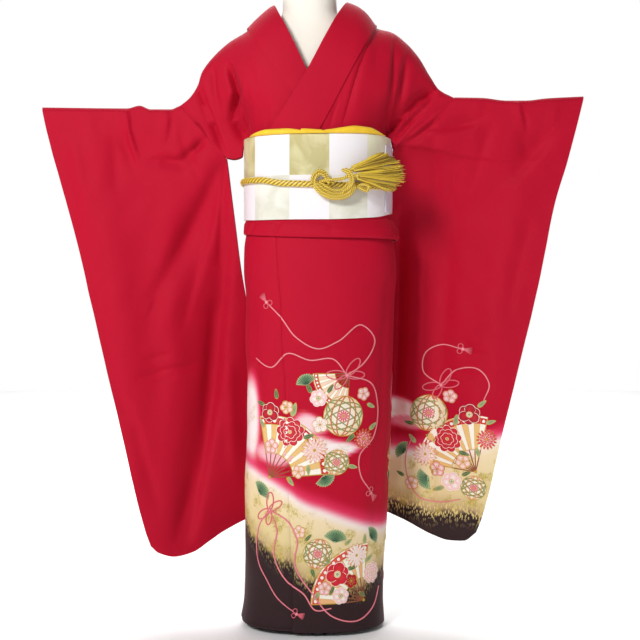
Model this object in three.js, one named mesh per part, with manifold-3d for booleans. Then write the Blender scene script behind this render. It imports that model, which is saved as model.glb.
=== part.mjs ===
// A furisode kimono with its sash set, worn by a limbless dress form that stands on a cross foot.
// Millimetres. +Z is up, the front faces -Y, and the origin is on the floor under the pole.
// "left" and "right" in names are the wearer's, so the wearer's right is at -X.

import * as THREE from "three";
import { mergeVertices } from "three/addons/utils/BufferGeometryUtils.js";
import Module from "manifold-3d";

// ---- Driving dimensions ----

const SILK = 2; // wall of the kimono cloth
const BROCADE = 3; // wall of the sash
const CLEAR = 0.8; // clearance between nested rings
const SEAM_GAP = 1.1; // distance between edges that meet at a seam
const ROUNDNESS = 2.3; // exponent of the body's superellipse sections

const OBI_HALF_WIDTH = 161;
const OBI_HALF_DEPTH = 115;
const WAIST_SHIFT = -1.5; // the waist's centre in X
const TUCK_WALL = 3;

const LAYER = 2.6; // one cloth layer and its clearance
const CHEST_LAYERS = 3; // cloth layers over the lowest one where the fronts cross
const OVERLAP_LIFT = 2 * LAYER + 0.15; // height of the left front over the right one
const OVERLAP_ENDS = { from: 78, to: 124 }; // X over which the left front comes down again
const SASH_INSIDE = BROCADE + CLEAR;
const PANEL_HALF = OBI_HALF_WIDTH - SASH_INSIDE - CHEST_LAYERS * LAYER;
const PANEL_FRONT = OBI_HALF_DEPTH - SASH_INSIDE - CHEST_LAYERS * LAYER;
const PANEL_BACK = PANEL_FRONT + LAYER;
const PANEL_EDGE = 1069; // the panels pass over the sash's upper edge here
const SEAM_UNDER = 1015; // and run down inside it to here
const ARM_HALF_GAP = 14.5; // half the distance between front and back cloth beside the arm bar
const BLOUSE_TOP = 1170; // above this the chest drapes, below BLOUSE_LOW it follows the sash
const BLOUSE_LOW = 1075;

const SKIRT_HALF = OBI_HALF_WIDTH - SASH_INSIDE - TUCK_WALL - CLEAR;
const SKIRT_DEPTH = OBI_HALF_DEPTH - SASH_INSIDE - TUCK_WALL - CLEAR;

const BAR_RADIUS = 11;
const BAR_BORE = 0.3; // clearance of the bar in the form
const BAR_TILT = 0.0245; // rise of the arm bar per millimetre of X
const BAR_HEIGHT = 1125.6; // bar's axis over the origin
const BAR_LEFT_END = 574; // at +X
const BAR_RIGHT_END = -598;

const POLE_RADIUS = 14;
const FORM_BOTTOM = 800;
const FORM_SIDES = 32;
const SEAT = 0.3; // clearance where a hard piece rests on another
const LEG_HALF_X = 122; // leg lengths stay inside the hem
const LEG_HALF_Y = 82;
const LEG_HALF_WIDTH = 16;
const LEG_HEIGHT = 12;
const HUB_RADIUS = 34;
const HUB_HEIGHT = 24;

const WRAP_FROM = 62; // the sash's second turn shows between these angles
const WRAP_TO = 128;
const WRAP_WALL = 2.4;
const WRAP_GAP = 0.5;
const WRAP_TOP = 1046;
const WRAP_LOW = 903;

const DRUM_HALF_WIDTH = 140;
const DRUM_COLUMNS = [-1, -0.6, -0.2, 0.2, 0.6, 1];
const DRUM_SAG = 6; // how far the drum's back bellies out in the middle
const DRUM_SAG_LEVELS = { top: 1100, low: 960 };
const DRUM_SAG_DEPTHS = { front: 130, back: 170 };
const END_HALF_WIDTH = 156; // the tied end shows at both sides of the drum
const END_DEPTH = 128.7;
const END_TOP = 1036;
const END_LOW = 930;
const END_BEND = 2; // how far the end's sides bend forward
const END_COLUMNS = [-1, -0.5, 0, 0.5, 1];
const WRAP_STEPS = 14;

const SCARF_REACH = 60; // angle at which the scarf tucks into the sash
const SCARF_THICK = 9;
const SCARF_THINS = 0.7; // share of its thickness that it loses at both ends
const SCARF_TAPER = 6; // exponent of that loss
const SCARF_STEPS = 26;
const SCARF_SIDES = 8;

// ---- Tables ----

// Shoulder line seen from the front: height of the cloth's crest at each X.
const SHOULDER = [
  { x: -304, z: 1138 },
  { x: -282, z: 1156 },
  { x: -264, z: 1184 },
  { x: -254, z: 1213 },
  { x: -227, z: 1248 },
  { x: -194, z: 1277 },
  { x: -154, z: 1301 },
  { x: -128, z: 1325 },
  { x: -95, z: 1352 },
  { x: -18, z: 1385 },
  { x: 59, z: 1354 },
  { x: 96, z: 1337 },
  { x: 127, z: 1307 },
  { x: 160, z: 1298 },
  { x: 191, z: 1276 },
  { x: 220, z: 1244 },
  { x: 245, z: 1203 },
  { x: 266, z: 1174 },
  { x: 297, z: 1157 },
];

// Depth of the draped cloth in front of and behind the shoulder line, and the drop it takes to reach it.
const DRAPE = [
  { x: 0, front: 103.4, back: 96, drop: 165 },
  { x: 60, front: 103, back: 95, drop: 160 },
  { x: 110, front: 98, back: 92, drop: 145 },
  { x: 150, front: 84, back: 82, drop: 115 },
  { x: 180, front: 62, back: 62, drop: 85 },
  { x: 210, front: 40, back: 40, drop: 58 },
  { x: 250, front: 21, back: 21, drop: 32 },
  { x: 280, front: 16, back: 16, drop: 17 },
  { x: 304, front: ARM_HALF_GAP, back: ARM_HALF_GAP, drop: 11 },
];

// Borders of the upper panels in the front view. "at" runs along the border from 0 to 1.
const RIGHT_PANEL = {
  crest: { inner: -138, outer: -304 },
  frontInner: [
    { at: 0, x: -138, z: 1316 },
    { at: 0.3, x: -88, z: 1223 },
    { at: 0.5, x: -43, z: 1164 },
    { at: 0.8, x: 6, z: 1090 },
    { at: 1, x: 20, z: PANEL_EDGE },
  ],
  backInner: [
    { at: 0, x: -138, z: 1316 },
    { at: 0.15, x: -100, z: 1285 },
    { at: 0.3, x: -60, z: 1268 },
    { at: 0.42, x: -13.4, z: 1262 },
    { at: 1, x: -13.4, z: PANEL_EDGE },
  ],
  frontFoot: [
    { at: 0, x: 20, z: PANEL_EDGE },
    { at: 0.35, x: -70, z: PANEL_EDGE },
    { at: 0.6, x: -142, z: PANEL_EDGE },
    { at: 0.68, x: -146, z: PANEL_EDGE },
    { at: 0.76, x: -167, z: 1067 },
    { at: 0.84, x: -170, z: 1043 },
    { at: 0.92, x: -185, z: 1034 },
    { at: 1, x: -201, z: 1026 },
  ],
  backFoot: [
    { at: 0, x: -13.4, z: PANEL_EDGE },
    { at: 0.35, x: -80, z: PANEL_EDGE },
    { at: 0.6, x: -142, z: PANEL_EDGE },
    { at: 0.68, x: -146, z: PANEL_EDGE },
    { at: 0.76, x: -167, z: 1067 },
    { at: 0.84, x: -170, z: 1043 },
    { at: 0.92, x: -185, z: 1034 },
    { at: 1, x: -201, z: 1026 },
  ],
  armhole: [
    { at: 0, x: -304, z: 1138 },
    { at: 1, x: -201, z: 1026 },
  ],
};

const LEFT_PANEL = {
  crest: { inner: 112, outer: 297 },
  frontInner: [
    { at: 0, x: 112, z: 1322 },
    { at: 0.35, x: 57, z: 1204 },
    { at: 0.55, x: 27, z: 1146 },
    { at: 0.8, x: -7, z: 1088 },
    { at: 1, x: -18, z: PANEL_EDGE },
  ],
  backInner: [
    { at: 0, x: 112, z: 1322 },
    { at: 0.15, x: 72, z: 1285 },
    { at: 0.3, x: 34, z: 1268 },
    { at: 0.42, x: -12.6, z: 1262 },
    { at: 1, x: -12.6, z: PANEL_EDGE },
  ],
  frontFoot: [
    { at: 0, x: -18, z: PANEL_EDGE },
    { at: 0.35, x: 64, z: PANEL_EDGE },
    { at: 0.6, x: 139, z: PANEL_EDGE },
    { at: 0.68, x: 143, z: PANEL_EDGE },
    { at: 0.76, x: 167, z: PANEL_EDGE },
    { at: 0.88, x: 171, z: 1063 },
    { at: 1, x: 174, z: 1057 },
  ],
  backFoot: [
    { at: 0, x: -12.6, z: PANEL_EDGE },
    { at: 0.35, x: 70, z: PANEL_EDGE },
    { at: 0.6, x: 139, z: PANEL_EDGE },
    { at: 0.68, x: 143, z: PANEL_EDGE },
    { at: 0.76, x: 167, z: PANEL_EDGE },
    { at: 0.88, x: 171, z: 1063 },
    { at: 1, x: 174, z: 1057 },
  ],
  armhole: [
    { at: 0, x: 297, z: 1157 },
    { at: 1, x: 174, z: 1057 },
  ],
};

const SASH_COLUMN = 0.6; // columns up to this one run down inside the sash
const PANEL_COLUMNS = [0, 0.12, 0.24, 0.35, 0.45, 0.53, 0.6, 0.68, 0.76, 0.84, 0.92, 1];
const PANEL_ROWS = [0, 0.025, 0.08, 0.17, 0.28, 0.41, 0.55, 0.7, 0.85, 1];

// Collar band from its hidden right end, round the neck, to its left end on top.
// Between its shoulder stations it stands behind the neck, where lean tips its free edge back.
const COLLAR = [
  { at: 0, inX: 60, inZ: 1018, outX: 2, outZ: 1018, lean: 0 },
  { at: 1, inX: 18, inZ: 1108, outX: -28, outZ: 1096, lean: 0 },
  { at: 2, inX: -24, inZ: 1199, outX: -69, outZ: 1178, lean: 0 },
  { at: 3, inX: -58, inZ: 1272, outX: -116, outZ: 1240, lean: 0 },
  { at: 4, inX: -80, inZ: 1318, outX: -138, outZ: 1276, lean: 0 },
  { at: 5, inX: -95, inZ: 1351, outX: -153, outZ: 1302, lean: 0 },
  { at: 6, inX: -99, inZ: 1350, outX: -141, outZ: 1286, lean: 2 },
  { at: 7, inX: -92, inZ: 1340, outX: -113, outZ: 1268, lean: 4 },
  { at: 8, inX: -62, inZ: 1324, outX: -67, outZ: 1252, lean: 8 },
  { at: 9, inX: -18, inZ: 1314, outX: -13, outZ: 1246, lean: 14 },
  { at: 10, inX: 26, inZ: 1324, outX: 40, outZ: 1252, lean: 8 },
  { at: 11, inX: 58, inZ: 1340, outX: 86, outZ: 1268, lean: 4 },
  { at: 12, inX: 66, inZ: 1350, outX: 116, outZ: 1288, lean: 2 },
  { at: 13, inX: 62, inZ: 1353, outX: 126, outZ: 1308, lean: 0 },
  { at: 14, inX: 40, inZ: 1318, outX: 110, outZ: 1276, lean: 0 },
  { at: 15, inX: 16, inZ: 1272, outX: 86, outZ: 1230, lean: 0 },
  { at: 16, inX: -23, inZ: 1198, outX: 48, outZ: 1158, lean: 0 },
  { at: 17, inX: -59, inZ: 1140, outX: 14, outZ: 1094, lean: 0 },
  { at: 18, inX: -97, inZ: 1079, outX: -18, outZ: 1036, lean: 0 },
  { at: 19, inX: -122, inZ: 1040, outX: -34, outZ: 1012, lean: 0 },
];
const COLLAR_STATIONS = [
  0, 0.5, 1, 1.5, 2.1, 2.7, 3.2, 3.6, 3.9, 4.2, 4.45, 4.65, 4.82, 4.93, 5, 5.3, 5.7, 6.2, 6.8, 7.4, 8, 8.5,
  9, 9.5, 10, 10.6, 11.2, 11.8, 12.4, 13, 13.08, 13.2, 13.38, 13.6, 13.85, 14.15, 14.5, 15, 15.6, 16.3,
  17, 17.7, 18.4, 19,
];
const COLLAR_SHOULDER = { right: 5, left: 13 }; // stations where the band crosses the shoulder line
const COLLAR_RISE = { from: 2.2, to: 4, end: 18 }; // stations where the band lifts off towards the neck
const COLLAR_ACROSS = [0, 0.2, 0.5, 0.8, 1];
const COLLAR_WALL = 2.2;
const COLLAR_BACK_LIFT = 4.5;
const COLLAR_LIFT = LAYER + 0.1;
const COLLAR_NECK_LIFT = 1.9;

// Right sleeve (at -X): borders in the front view, with y the middle between its two layers.
const RIGHT_SLEEVE = {
  crest: [
    { at: 0, x: -304 - SEAM_GAP, z: 1138, y: 0 },
    { at: 0.06, x: -322, z: 1131, y: 0 },
    { at: 0.2, x: -366, z: 1131, y: 0 },
    { at: 0.28, x: -390, z: 1139, y: 0 },
    { at: 0.38, x: -418, z: 1133, y: 0 },
    { at: 1, x: -603, z: 1135, y: 0 },
  ],
  cuffSide: [
    { at: 0, x: -603, z: 1135, y: 0 },
    { at: 0.05, x: -593, z: 1086, y: 1 },
    { at: 0.16, x: -566, z: 979, y: 3 },
    { at: 0.33, x: -524, z: 815, y: 8 },
    { at: 0.53, x: -482, z: 622, y: 12 },
    { at: 0.75, x: -432, z: 408, y: 14 },
    { at: 0.95, x: -385, z: 204, y: 15 },
    { at: 1, x: -372, z: 167, y: 16 },
  ],
  foot: [
    { at: 0, x: -105, z: 236, y: 128 },
    { at: 0.22, x: -163, z: 212, y: 104 },
    { at: 0.42, x: -218, z: 186, y: 78 },
    { at: 0.53, x: -247, z: 168, y: 62 },
    { at: 0.67, x: -282, z: 147, y: 46 },
    { at: 0.8, x: -318, z: 140, y: 32 },
    { at: 0.94, x: -355, z: 151, y: 19 },
    { at: 1, x: -372, z: 167, y: 16 },
  ],
  armhole: [
    { at: 0, x: -304 - SEAM_GAP, z: 1138, y: 0 },
    { at: 0.155, x: -201 - SEAM_GAP, z: 1026, y: 0 },
  ],
  opening: [
    { at: 0.155, x: -201 - SEAM_GAP, z: 1026, y: 0 },
    { at: 0.28, x: -186, z: 903, y: 16 },
    { at: 0.4, x: -172, z: 782, y: 40 },
    { at: 0.48, x: -160, z: 703, y: 62 },
    { at: 0.6, x: -147, z: 600, y: 92 },
    { at: 0.79, x: -126, z: 420, y: 118 },
    { at: 1, x: -105, z: 236, y: 128 },
  ],
  folds: [
    { x1: -203, z1: 870, x2: -242, z2: 492, x3: -300, z3: 158, width: 24, depth: 11 },
    { x1: -206, z1: 1016, x2: -276, z2: 880, x3: -357, z3: 723, width: 26, depth: 9 },
    { x1: -416, z1: 1112, x2: -418, z2: 1061, x3: -401, z3: 1005, width: 13, depth: 6 },
    { x1: -320, z1: 1110, x2: -324, z2: 1090, x3: -328, z3: 1060, width: 12, depth: 5 },
    { x1: -258, z1: 1055, x2: -300, z2: 1030, x3: -348, z3: 1015, width: 16, depth: 6 },
    { x1: -500, z1: 1060, x2: -440, z2: 700, x3: -380, z3: 300, width: 48, depth: -10 },
    { x1: -330, z1: 900, x2: -320, z2: 560, x3: -335, z3: 240, width: 34, depth: -7 },
  ],
};

const LEFT_SLEEVE = {
  crest: [
    { at: 0, x: 297 + SEAM_GAP, z: 1157, y: 0 },
    { at: 0.2, x: 356, z: 1156, y: 0 },
    { at: 0.42, x: 414, z: 1150, y: 0 },
    { at: 0.55, x: 452, z: 1150, y: 0 },
    { at: 0.72, x: 501, z: 1155, y: 0 },
    { at: 1, x: 580, z: 1159, y: 0 },
  ],
  cuffSide: [
    { at: 0, x: 580, z: 1159, y: 0 },
    { at: 0.15, x: 547, z: 1022, y: 3 },
    { at: 0.25, x: 519, z: 921, y: 6 },
    { at: 0.44, x: 484, z: 738, y: 10 },
    { at: 0.6, x: 447, z: 582, y: 12 },
    { at: 0.78, x: 405, z: 405, y: 14 },
    { at: 0.95, x: 366, z: 238, y: 15 },
    { at: 1, x: 351, z: 198, y: 16 },
  ],
  foot: [
    { at: 0, x: 62, z: 264, y: 132 },
    { at: 0.36, x: 151, z: 229, y: 112 },
    { at: 0.52, x: 198, z: 211, y: 90 },
    { at: 0.7, x: 259, z: 184, y: 56 },
    { at: 0.8, x: 292, z: 176, y: 38 },
    { at: 0.92, x: 325, z: 178, y: 22 },
    { at: 1, x: 351, z: 198, y: 16 },
  ],
  armhole: [
    { at: 0, x: 297 + SEAM_GAP, z: 1157, y: 0 },
    { at: 0.155, x: 174 + SEAM_GAP, z: 1057, y: 0 },
  ],
  opening: [
    { at: 0.155, x: 174 + SEAM_GAP, z: 1057, y: 0 },
    { at: 0.175, x: 169, z: 1034, y: 18 },
    { at: 0.2, x: 165, z: 1000, y: 40 },
    { at: 0.27, x: 160, z: 930, y: 80 },
    { at: 0.35, x: 158, z: 850, y: 108 },
    { at: 0.42, x: 154, z: 780, y: 121 },
    { at: 0.62, x: 140, z: 600, y: 128 },
    { at: 0.8, x: 112, z: 430, y: 132 },
    { at: 1, x: 62, z: 264, y: 132 },
  ],
  folds: [
    { x1: 446, z1: 1132, x2: 450, z2: 1122, x3: 457, z3: 1100, width: 12, depth: 5 },
    { x1: 503, z1: 1076, x2: 468, z2: 1031, x3: 425, z3: 985, width: 22, depth: 8 },
    { x1: 391, z1: 1128, x2: 336, z2: 1103, x3: 264, z3: 1088, width: 18, depth: 6 },
    { x1: 204, z1: 900, x2: 206, z2: 680, x3: 196, z3: 430, width: 20, depth: 14 },
    { x1: 440, z1: 980, x2: 392, z2: 700, x3: 338, z3: 330, width: 44, depth: -10 },
    { x1: 300, z1: 960, x2: 282, z2: 640, x3: 262, z3: 300, width: 30, depth: 8 },
  ],
};

const SLEEVE_COLUMNS = [0, 0.05, 0.14, 0.24, 0.34, 0.45, 0.56, 0.67, 0.79, 0.91, 1];
const SLEEVE_ROWS = [
  0, 0.009, 0.028, 0.06, 0.1, 0.155, 0.2, 0.24, 0.31, 0.38, 0.45, 0.53, 0.61, 0.69, 0.77, 0.85, 0.93, 1,
];
const CUFF_ROW = 7; // the cuff is open above this row, about 230 mm down

// Distance between a sleeve's two outer faces down its length, at the body side, middle and cuff side.
const SLEEVE_GAP = [
  { at: 0, body: 12, middle: 12, cuff: 12 },
  { at: 0.009, body: 29, middle: 29, cuff: 29 },
  { at: 0.028, body: 29, middle: 30, cuff: 30 },
  { at: 0.1, body: 29, middle: 26, cuff: 25 },
  { at: 0.16, body: 29, middle: 22, cuff: 20 },
  { at: 0.24, body: 25, middle: 19, cuff: 10 },
  { at: 0.4, body: 18, middle: 17, cuff: 8 },
  { at: 0.7, body: 14, middle: 15, cuff: 8 },
  { at: 1, body: 9, middle: 9, cuff: 8 },
];

// Creases of the upper panels, as troughs (positive depth) from point 1 over point 2 to point 3.
const RIGHT_PANEL_FOLDS = [
  { x1: -292, z1: 1134, x2: -268, z2: 1100, x3: -239, z3: 1062, width: 9, depth: 3 },
  { x1: -258, z1: 1170, x2: -221, z2: 1085, x3: -201, z3: 1034, width: 10, depth: 4 },
  { x1: -226, z1: 1210, x2: -218, z2: 1163, x3: -210, z3: 1120, width: 10, depth: 6 },
  { x1: -192, z1: 1215, x2: -183, z2: 1140, x3: -170, z3: 1073, width: 13, depth: 13 },
];
const LEFT_PANEL_FOLDS = [
  { x1: 160, z1: 1262, x2: 152, z2: 1182, x3: 144, z3: 1083, width: 10, depth: 5 },
  { x1: 252, z1: 1166, x2: 215, z2: 1137, x3: 155, z3: 1076, width: 11, depth: 7 },
  { x1: 262, z1: 1166, x2: 245, z2: 1148, x3: 231, z3: 1131, width: 8, depth: 3 },
];

// Skirt sections: X at the wearer's right and left side, and half the depth.
const SKIRT = [
  { z: 10, low: -172, high: 146, depth: 113 },
  { z: 60, low: -164, high: 143, depth: 112 },
  { z: 112, low: -161, high: 143, depth: 111 },
  { z: 225, low: -161, high: 151, depth: 111 },
  { z: 311, low: -161, high: 155, depth: 112 },
  { z: 450, low: -156, high: 160, depth: 113 },
  { z: 540, low: -156, high: 162, depth: 114 },
  { z: 626, low: -160, high: 164, depth: 115 },
  { z: 703, low: -158, high: 167, depth: 115 },
  { z: 776, low: -163, high: 171, depth: 115 },
  { z: 825, low: -162, high: 167, depth: 114 },
  { z: 856, low: -158, high: 160, depth: 111 },
  { z: 876, low: WAIST_SHIFT - SKIRT_HALF, high: WAIST_SHIFT + SKIRT_HALF, depth: SKIRT_DEPTH },
  { z: 955, low: WAIST_SHIFT - SKIRT_HALF, high: WAIST_SHIFT + SKIRT_HALF, depth: SKIRT_DEPTH },
];
const SKIRT_LEVELS = [955, 880, 838, 790, 720, 640, 550, 450, 340, 230, 130, 60];

// Creases down the skirt: angle from the front at top and foot, and the heights they run between.
const SKIRT_FOLDS = [
  { top: -60, foot: -52, from: 760, to: 120, width: 7, depth: 2.5 },
  { top: 62, foot: 50, from: 800, to: 200, width: 8, depth: 3 },
  { top: 150, foot: 162, from: 780, to: 60, width: 7, depth: 4 },
  { top: -140, foot: -152, from: 800, to: 40, width: 8, depth: 5 },
  { top: 108, foot: 112, from: 700, to: 60, width: 9, depth: 4 },
];

// Angles in degrees round the body from the front, positive towards the wearer's left.
const FREE_EDGE = { top: -99, foot: -88 };
const OVERLAP_SEAM = { top: -31, foot: -13 };
const UNDER_SEAM = { top: -4, foot: 8 };
const UNDER_EDGE = { top: 74, foot: 66 };
const BACK_SEAM = { right: { top: -180.05, foot: -180.05 }, left: { top: 180.05, foot: 180.05 } };
const SEAM_TOP = 840; // the seams turn from their top angle here
const SEAM_FALL = 830; // to their foot angle this far below
const SEAM_TURN = 0.07; // degrees that each piece stays short of a seam
const UNDER_INSET = 3.3; // how far inside the outer layer the under layer lies
const SIDE_SEAM = { from: -150, to: -108 }; // the right panel goes under the overlap between these angles
const SKIRT_PIECES = [
  { name: "skirt_overlap_left", from: FREE_EDGE, to: OVERLAP_SEAM, steps: 9, layer: "outer", hem: 20 },
  { name: "skirt_body_left", from: OVERLAP_SEAM, to: BACK_SEAM.left, steps: 22, layer: "outer", hem: 10 },
  { name: "skirt_body_right", from: BACK_SEAM.right, to: UNDER_SEAM, steps: 20, layer: "crosses", hem: 12 },
  { name: "skirt_overlap_right", from: UNDER_SEAM, to: UNDER_EDGE, steps: 9, layer: "under", hem: 18 },
];

// Lower edge of the waist tuck and both edges of the sash round the body.
const WAIST_EDGES = [
  { angle: -180, tuck: 848, sashLow: 892, sashTop: 1064 },
  { angle: -90, tuck: 857, sashLow: 888, sashTop: 1062 },
  { angle: -40, tuck: 850, sashLow: 884, sashTop: 1062 },
  { angle: 0, tuck: 846, sashLow: 884, sashTop: 1063 },
  { angle: 45, tuck: 845, sashLow: 890, sashTop: 1065 },
  { angle: 90, tuck: 844, sashLow: 903, sashTop: 1062 },
  { angle: 180, tuck: 848, sashLow: 892, sashTop: 1064 },
];

// Waist tuck from inside the sash down to its fold: fall is the share of the way down.
const TUCK_PROFILE = [
  { fall: 0, bulge: 0, shift: WAIST_SHIFT },
  { fall: 0.4, bulge: 0, shift: WAIST_SHIFT },
  { fall: 0.55, bulge: 6, shift: 1 },
  { fall: 0.75, bulge: 11.5, shift: 5 },
  { fall: 0.92, bulge: 13, shift: 6 },
  { fall: 1, bulge: 11, shift: 5 },
];
const TUCK_EMERGES = 0.4; // share of the fall that stays inside the sash
const TUCK_ROWS = [0, TUCK_EMERGES, 0.5, 0.62, 0.78, 0.92, 1];
const TUCK_DEEP = 0.7; // the tuck bulges less to the front and back than to the sides
const TUCK_TOP = 930;
const RING_STEPS = 44;

// Dress form, from its flat foot to the cap of the neck.
const FORM = [
  { z: FORM_BOTTOM, half: 140, depth: 90, shift: -1.5 },
  { z: 860, half: 145, depth: 97, shift: -1.5 },
  { z: 900, half: 146, depth: 98, shift: -1.5 },
  { z: 955, half: 146, depth: 98, shift: -1.5 },
  { z: 1015, half: 144, depth: 97, shift: -1.5 },
  { z: 1063, half: 138, depth: 95, shift: -2 },
  { z: 1120, half: 142, depth: 92, shift: -4 },
  { z: 1170, half: 154, depth: 88, shift: -7 },
  { z: 1215, half: 162, depth: 82, shift: -9 },
  { z: 1250, half: 165, depth: 76, shift: -11 },
  { z: 1275, half: 142, depth: 69, shift: -13 },
  { z: 1298, half: 108, depth: 62, shift: -15 },
  { z: 1318, half: 76, depth: 58, shift: -17 },
  { z: 1340, half: 60, depth: 56, shift: -18 },
  { z: 1396, half: 57, depth: 54, shift: -19 },
  { z: 1402, half: 52, depth: 49, shift: -19 },
];

// Cord band round the sash: height of its middle at each angle.
const CORD_HEIGHT = [
  { angle: -180, z: 966 },
  { angle: -90, z: 970 },
  { angle: -45, z: 968 },
  { angle: -20, z: 959 },
  { angle: 40, z: 955 },
  { angle: 90, z: 960 },
  { angle: 180, z: 966 },
];
const CORD_TALL = 13;
const CORD_THICK = 7;
const CORD_GAP = 0.5;
const CORD_CLIMB = 9; // degrees before the second turn where the cord starts to climb it
const CORD_STEPS = 52;
const CORD_SIDES = 6;

// Side view of the drum, from its hidden start over its top, down its back and in at its foot.
const DRUM_PROFILE = [
  { y: 118.4, z: 1028 },
  { y: 118.4, z: 1072 },
  { y: 126, z: 1100 },
  { y: 142, z: 1117 },
  { y: 160, z: 1108 },
  { y: 172, z: 1076 },
  { y: 177, z: 1030 },
  { y: 178, z: 980 },
  { y: 174, z: 930 },
  { y: 165, z: 902 },
  { y: 150, z: 892 },
  { y: 138, z: 902 },
  { y: 135, z: 936 },
];

// Upper edge of the scarf at each angle.
const SCARF_TOP = [
  { angle: -SCARF_REACH, z: 1070 },
  { angle: -50, z: 1077 },
  { angle: -28, z: 1079.5 },
  { angle: -12, z: 1077 },
  { angle: -7, z: 1070.5 },
  { angle: 0, z: 1071 },
  { angle: 5, z: 1080 },
  { angle: 22, z: 1083 },
  { angle: 45, z: 1080 },
  { angle: SCARF_REACH, z: 1070 },
];

// Strands of the cord's knot: each a path of points (x, z) with its depth in front of the origin.
const KNOT_CORD = 3.7;
const KNOT_ARCH = 3; // how far each strand arches forward
const KNOT_SIDES = 6;
const KNOT_STRANDS = [
  { y: -126, path: [[-13, 957], [-11, 972], [2, 984], [14, 980], [22, 967], [34, 958]] },
  { y: -127.5, path: [[-11, 955], [4, 938], [22, 928], [44, 926], [64, 932], [79, 951]] },
  { y: -126.5, path: [[-4, 960], [10, 947], [28, 937], [52, 938], [70, 956]] },
  { y: -130, path: [[6, 962], [30, 965], [54, 968], [66, 976]] },
  { y: -131, path: [[50, 986], [62, 978], [68, 964], [64, 950], [52, 940]] },
  { y: -120.5, path: [[68, 958], [80, 953], [92, 946], [102, 943], [107, 950], [99, 955], [84, 954]] },
];

// Tassels: the spread of the strand tips, from the first strand to the last.
const TASSEL_ROOTS = { upper: { x: 63, y: -131, z: 983.4 }, lower: { x: 71, y: -132.5, z: 973 } };
const TASSEL_UPPER = [
  { at: 0, x: 122, y: -112, z: 1014 },
  { at: 0.35, x: 139, y: -110, z: 1025 },
  { at: 0.7, x: 160, y: -106, z: 1014 },
  { at: 1, x: 171, y: -104, z: 1003 },
];
const TASSEL_LOWER = [
  { at: 0, x: 183, y: -100, z: 987 },
  { at: 0.4, x: 180, y: -102, z: 968 },
  { at: 0.7, x: 172, y: -106, z: 952 },
  { at: 1, x: 151, y: -110, z: 941 },
];
const STRANDS_ACROSS = 8;
const STRANDS_DEEP = 3;
const STRAND_RADIUS = 0.8;
const STRAND_SIDES = 3;
const STRAND_STEPS = 3;
const STRAND_PITCH = 1.9; // distance between strand roots in the head
const STRAND_SPREAD = 4; // distance between the layers' tips
const STRAND_ROOT = 2; // how far a strand runs into the head
const TASSEL_HEAD = 13;
const TASSEL_NECK = 3;
const TASSEL_NECK_LENGTH = 0.45; // share of the head before it flares
const TASSEL_SIDES = 8;
const KNEE = { along: 0.35, reach: 4 }; // where a strand bends over

// ---- Interpolation ----

// Monotone cubic through the rows' (key, value) pairs, held level past both ends.
function smooth(rows, key, at, value) {
  const last = rows.length - 1;
  if (at <= rows[0][key]) return rows[0][value];
  if (at >= rows[last][key]) return rows[last][value];
  let k = 0;
  while (at > rows[k + 1][key]) k += 1;
  const step = (i) => rows[i + 1][key] - rows[i][key];
  const slope = (i) => (rows[i + 1][value] - rows[i][value]) / step(i);
  const tangent = (i) => {
    if (i === 0) return slope(0);
    if (i === last) return slope(last - 1);
    const product = slope(i - 1) * slope(i);
    return product > 0 ? (2 * product) / (slope(i - 1) + slope(i)) : 0;
  };
  const h = step(k);
  const t = (at - rows[k][key]) / h;
  const rest = 1 - t;
  return (
    rows[k][value] * (1 + 2 * t) * rest * rest +
    h * tangent(k) * t * rest * rest +
    rows[k + 1][value] * t * t * (3 - 2 * t) -
    h * tangent(k + 1) * t * t * rest
  );
}

const mix = (a, b, t) => a + (b - a) * t;
const ease = (low, high, v) => THREE.MathUtils.smoothstep(v, low, high);

// ---- Cloth surfaces ----

const crestHeight = (x) => smooth(SHOULDER, "x", x, "z");

// Depth of the cloth before (or behind) the crest at a point of the front view.
function clothDepth(x, z, side) {
  const away = Math.abs(x);
  const drop = smooth(DRAPE, "x", away, "drop");
  const rise = THREE.MathUtils.clamp((crestHeight(x) - z) / drop, 0, 1);
  const draped = smooth(DRAPE, "x", away, side) * Math.sqrt(1 - (1 - rise) ** 2);
  const belted = waistDepth(x, side === "front" ? PANEL_FRONT : PANEL_BACK);
  return mix(belted, draped, ease(BLOUSE_LOW, BLOUSE_TOP, z));
}

// Depth of a superellipse just inside the sash, and no less than the arm's own gap beside it.
function waistDepth(x, depth) {
  const share = Math.min(Math.abs(x - WAIST_SHIFT) / PANEL_HALF, 1);
  return Math.max(depth * (1 - share ** ROUNDNESS) ** (1 / ROUNDNESS), ARM_HALF_GAP);
}

// How far a point is pushed in by the creases: a soft trough round each three-point path.
function creaseDepth(folds, x, z) {
  let sum = 0;
  for (const f of folds) {
    const first = nearest(x, z, f.x1, f.z1, f.x2, f.z2);
    const second = nearest(x, z, f.x2, f.z2, f.x3, f.z3);
    const along = first.away < second.away ? first.t / 2 : 0.5 + second.t / 2;
    const away = Math.min(first.away, second.away);
    const fade = Math.sqrt(Math.max(Math.sin(Math.PI * mix(0.04, 0.96, along)), 0));
    sum += f.depth * fade * Math.exp(-((away / f.width) ** 2));
  }
  return sum;
}

function nearest(x, z, x1, z1, x2, z2) {
  const dx = x2 - x1;
  const dz = z2 - z1;
  const t = THREE.MathUtils.clamp(((x - x1) * dx + (z - z1) * dz) / (dx * dx + dz * dz), 0, 1);
  return { t, away: Math.hypot(x - x1 - t * dx, z - z1 - t * dz) };
}

// Coons patch: a point blended from four borders that meet at their ends.
function blend(borders, u, v, axis) {
  const top = (at) => borders.top(at)[axis];
  const foot = (at) => borders.foot(at)[axis];
  const inner = (at) => borders.inner(at)[axis];
  const outer = (at) => borders.outer(at)[axis];
  const corners = mix(mix(top(0), top(1), u), mix(foot(0), foot(1), u), v);
  return mix(top(u), foot(u), v) + mix(inner(v), outer(v), u) - corners;
}

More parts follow.
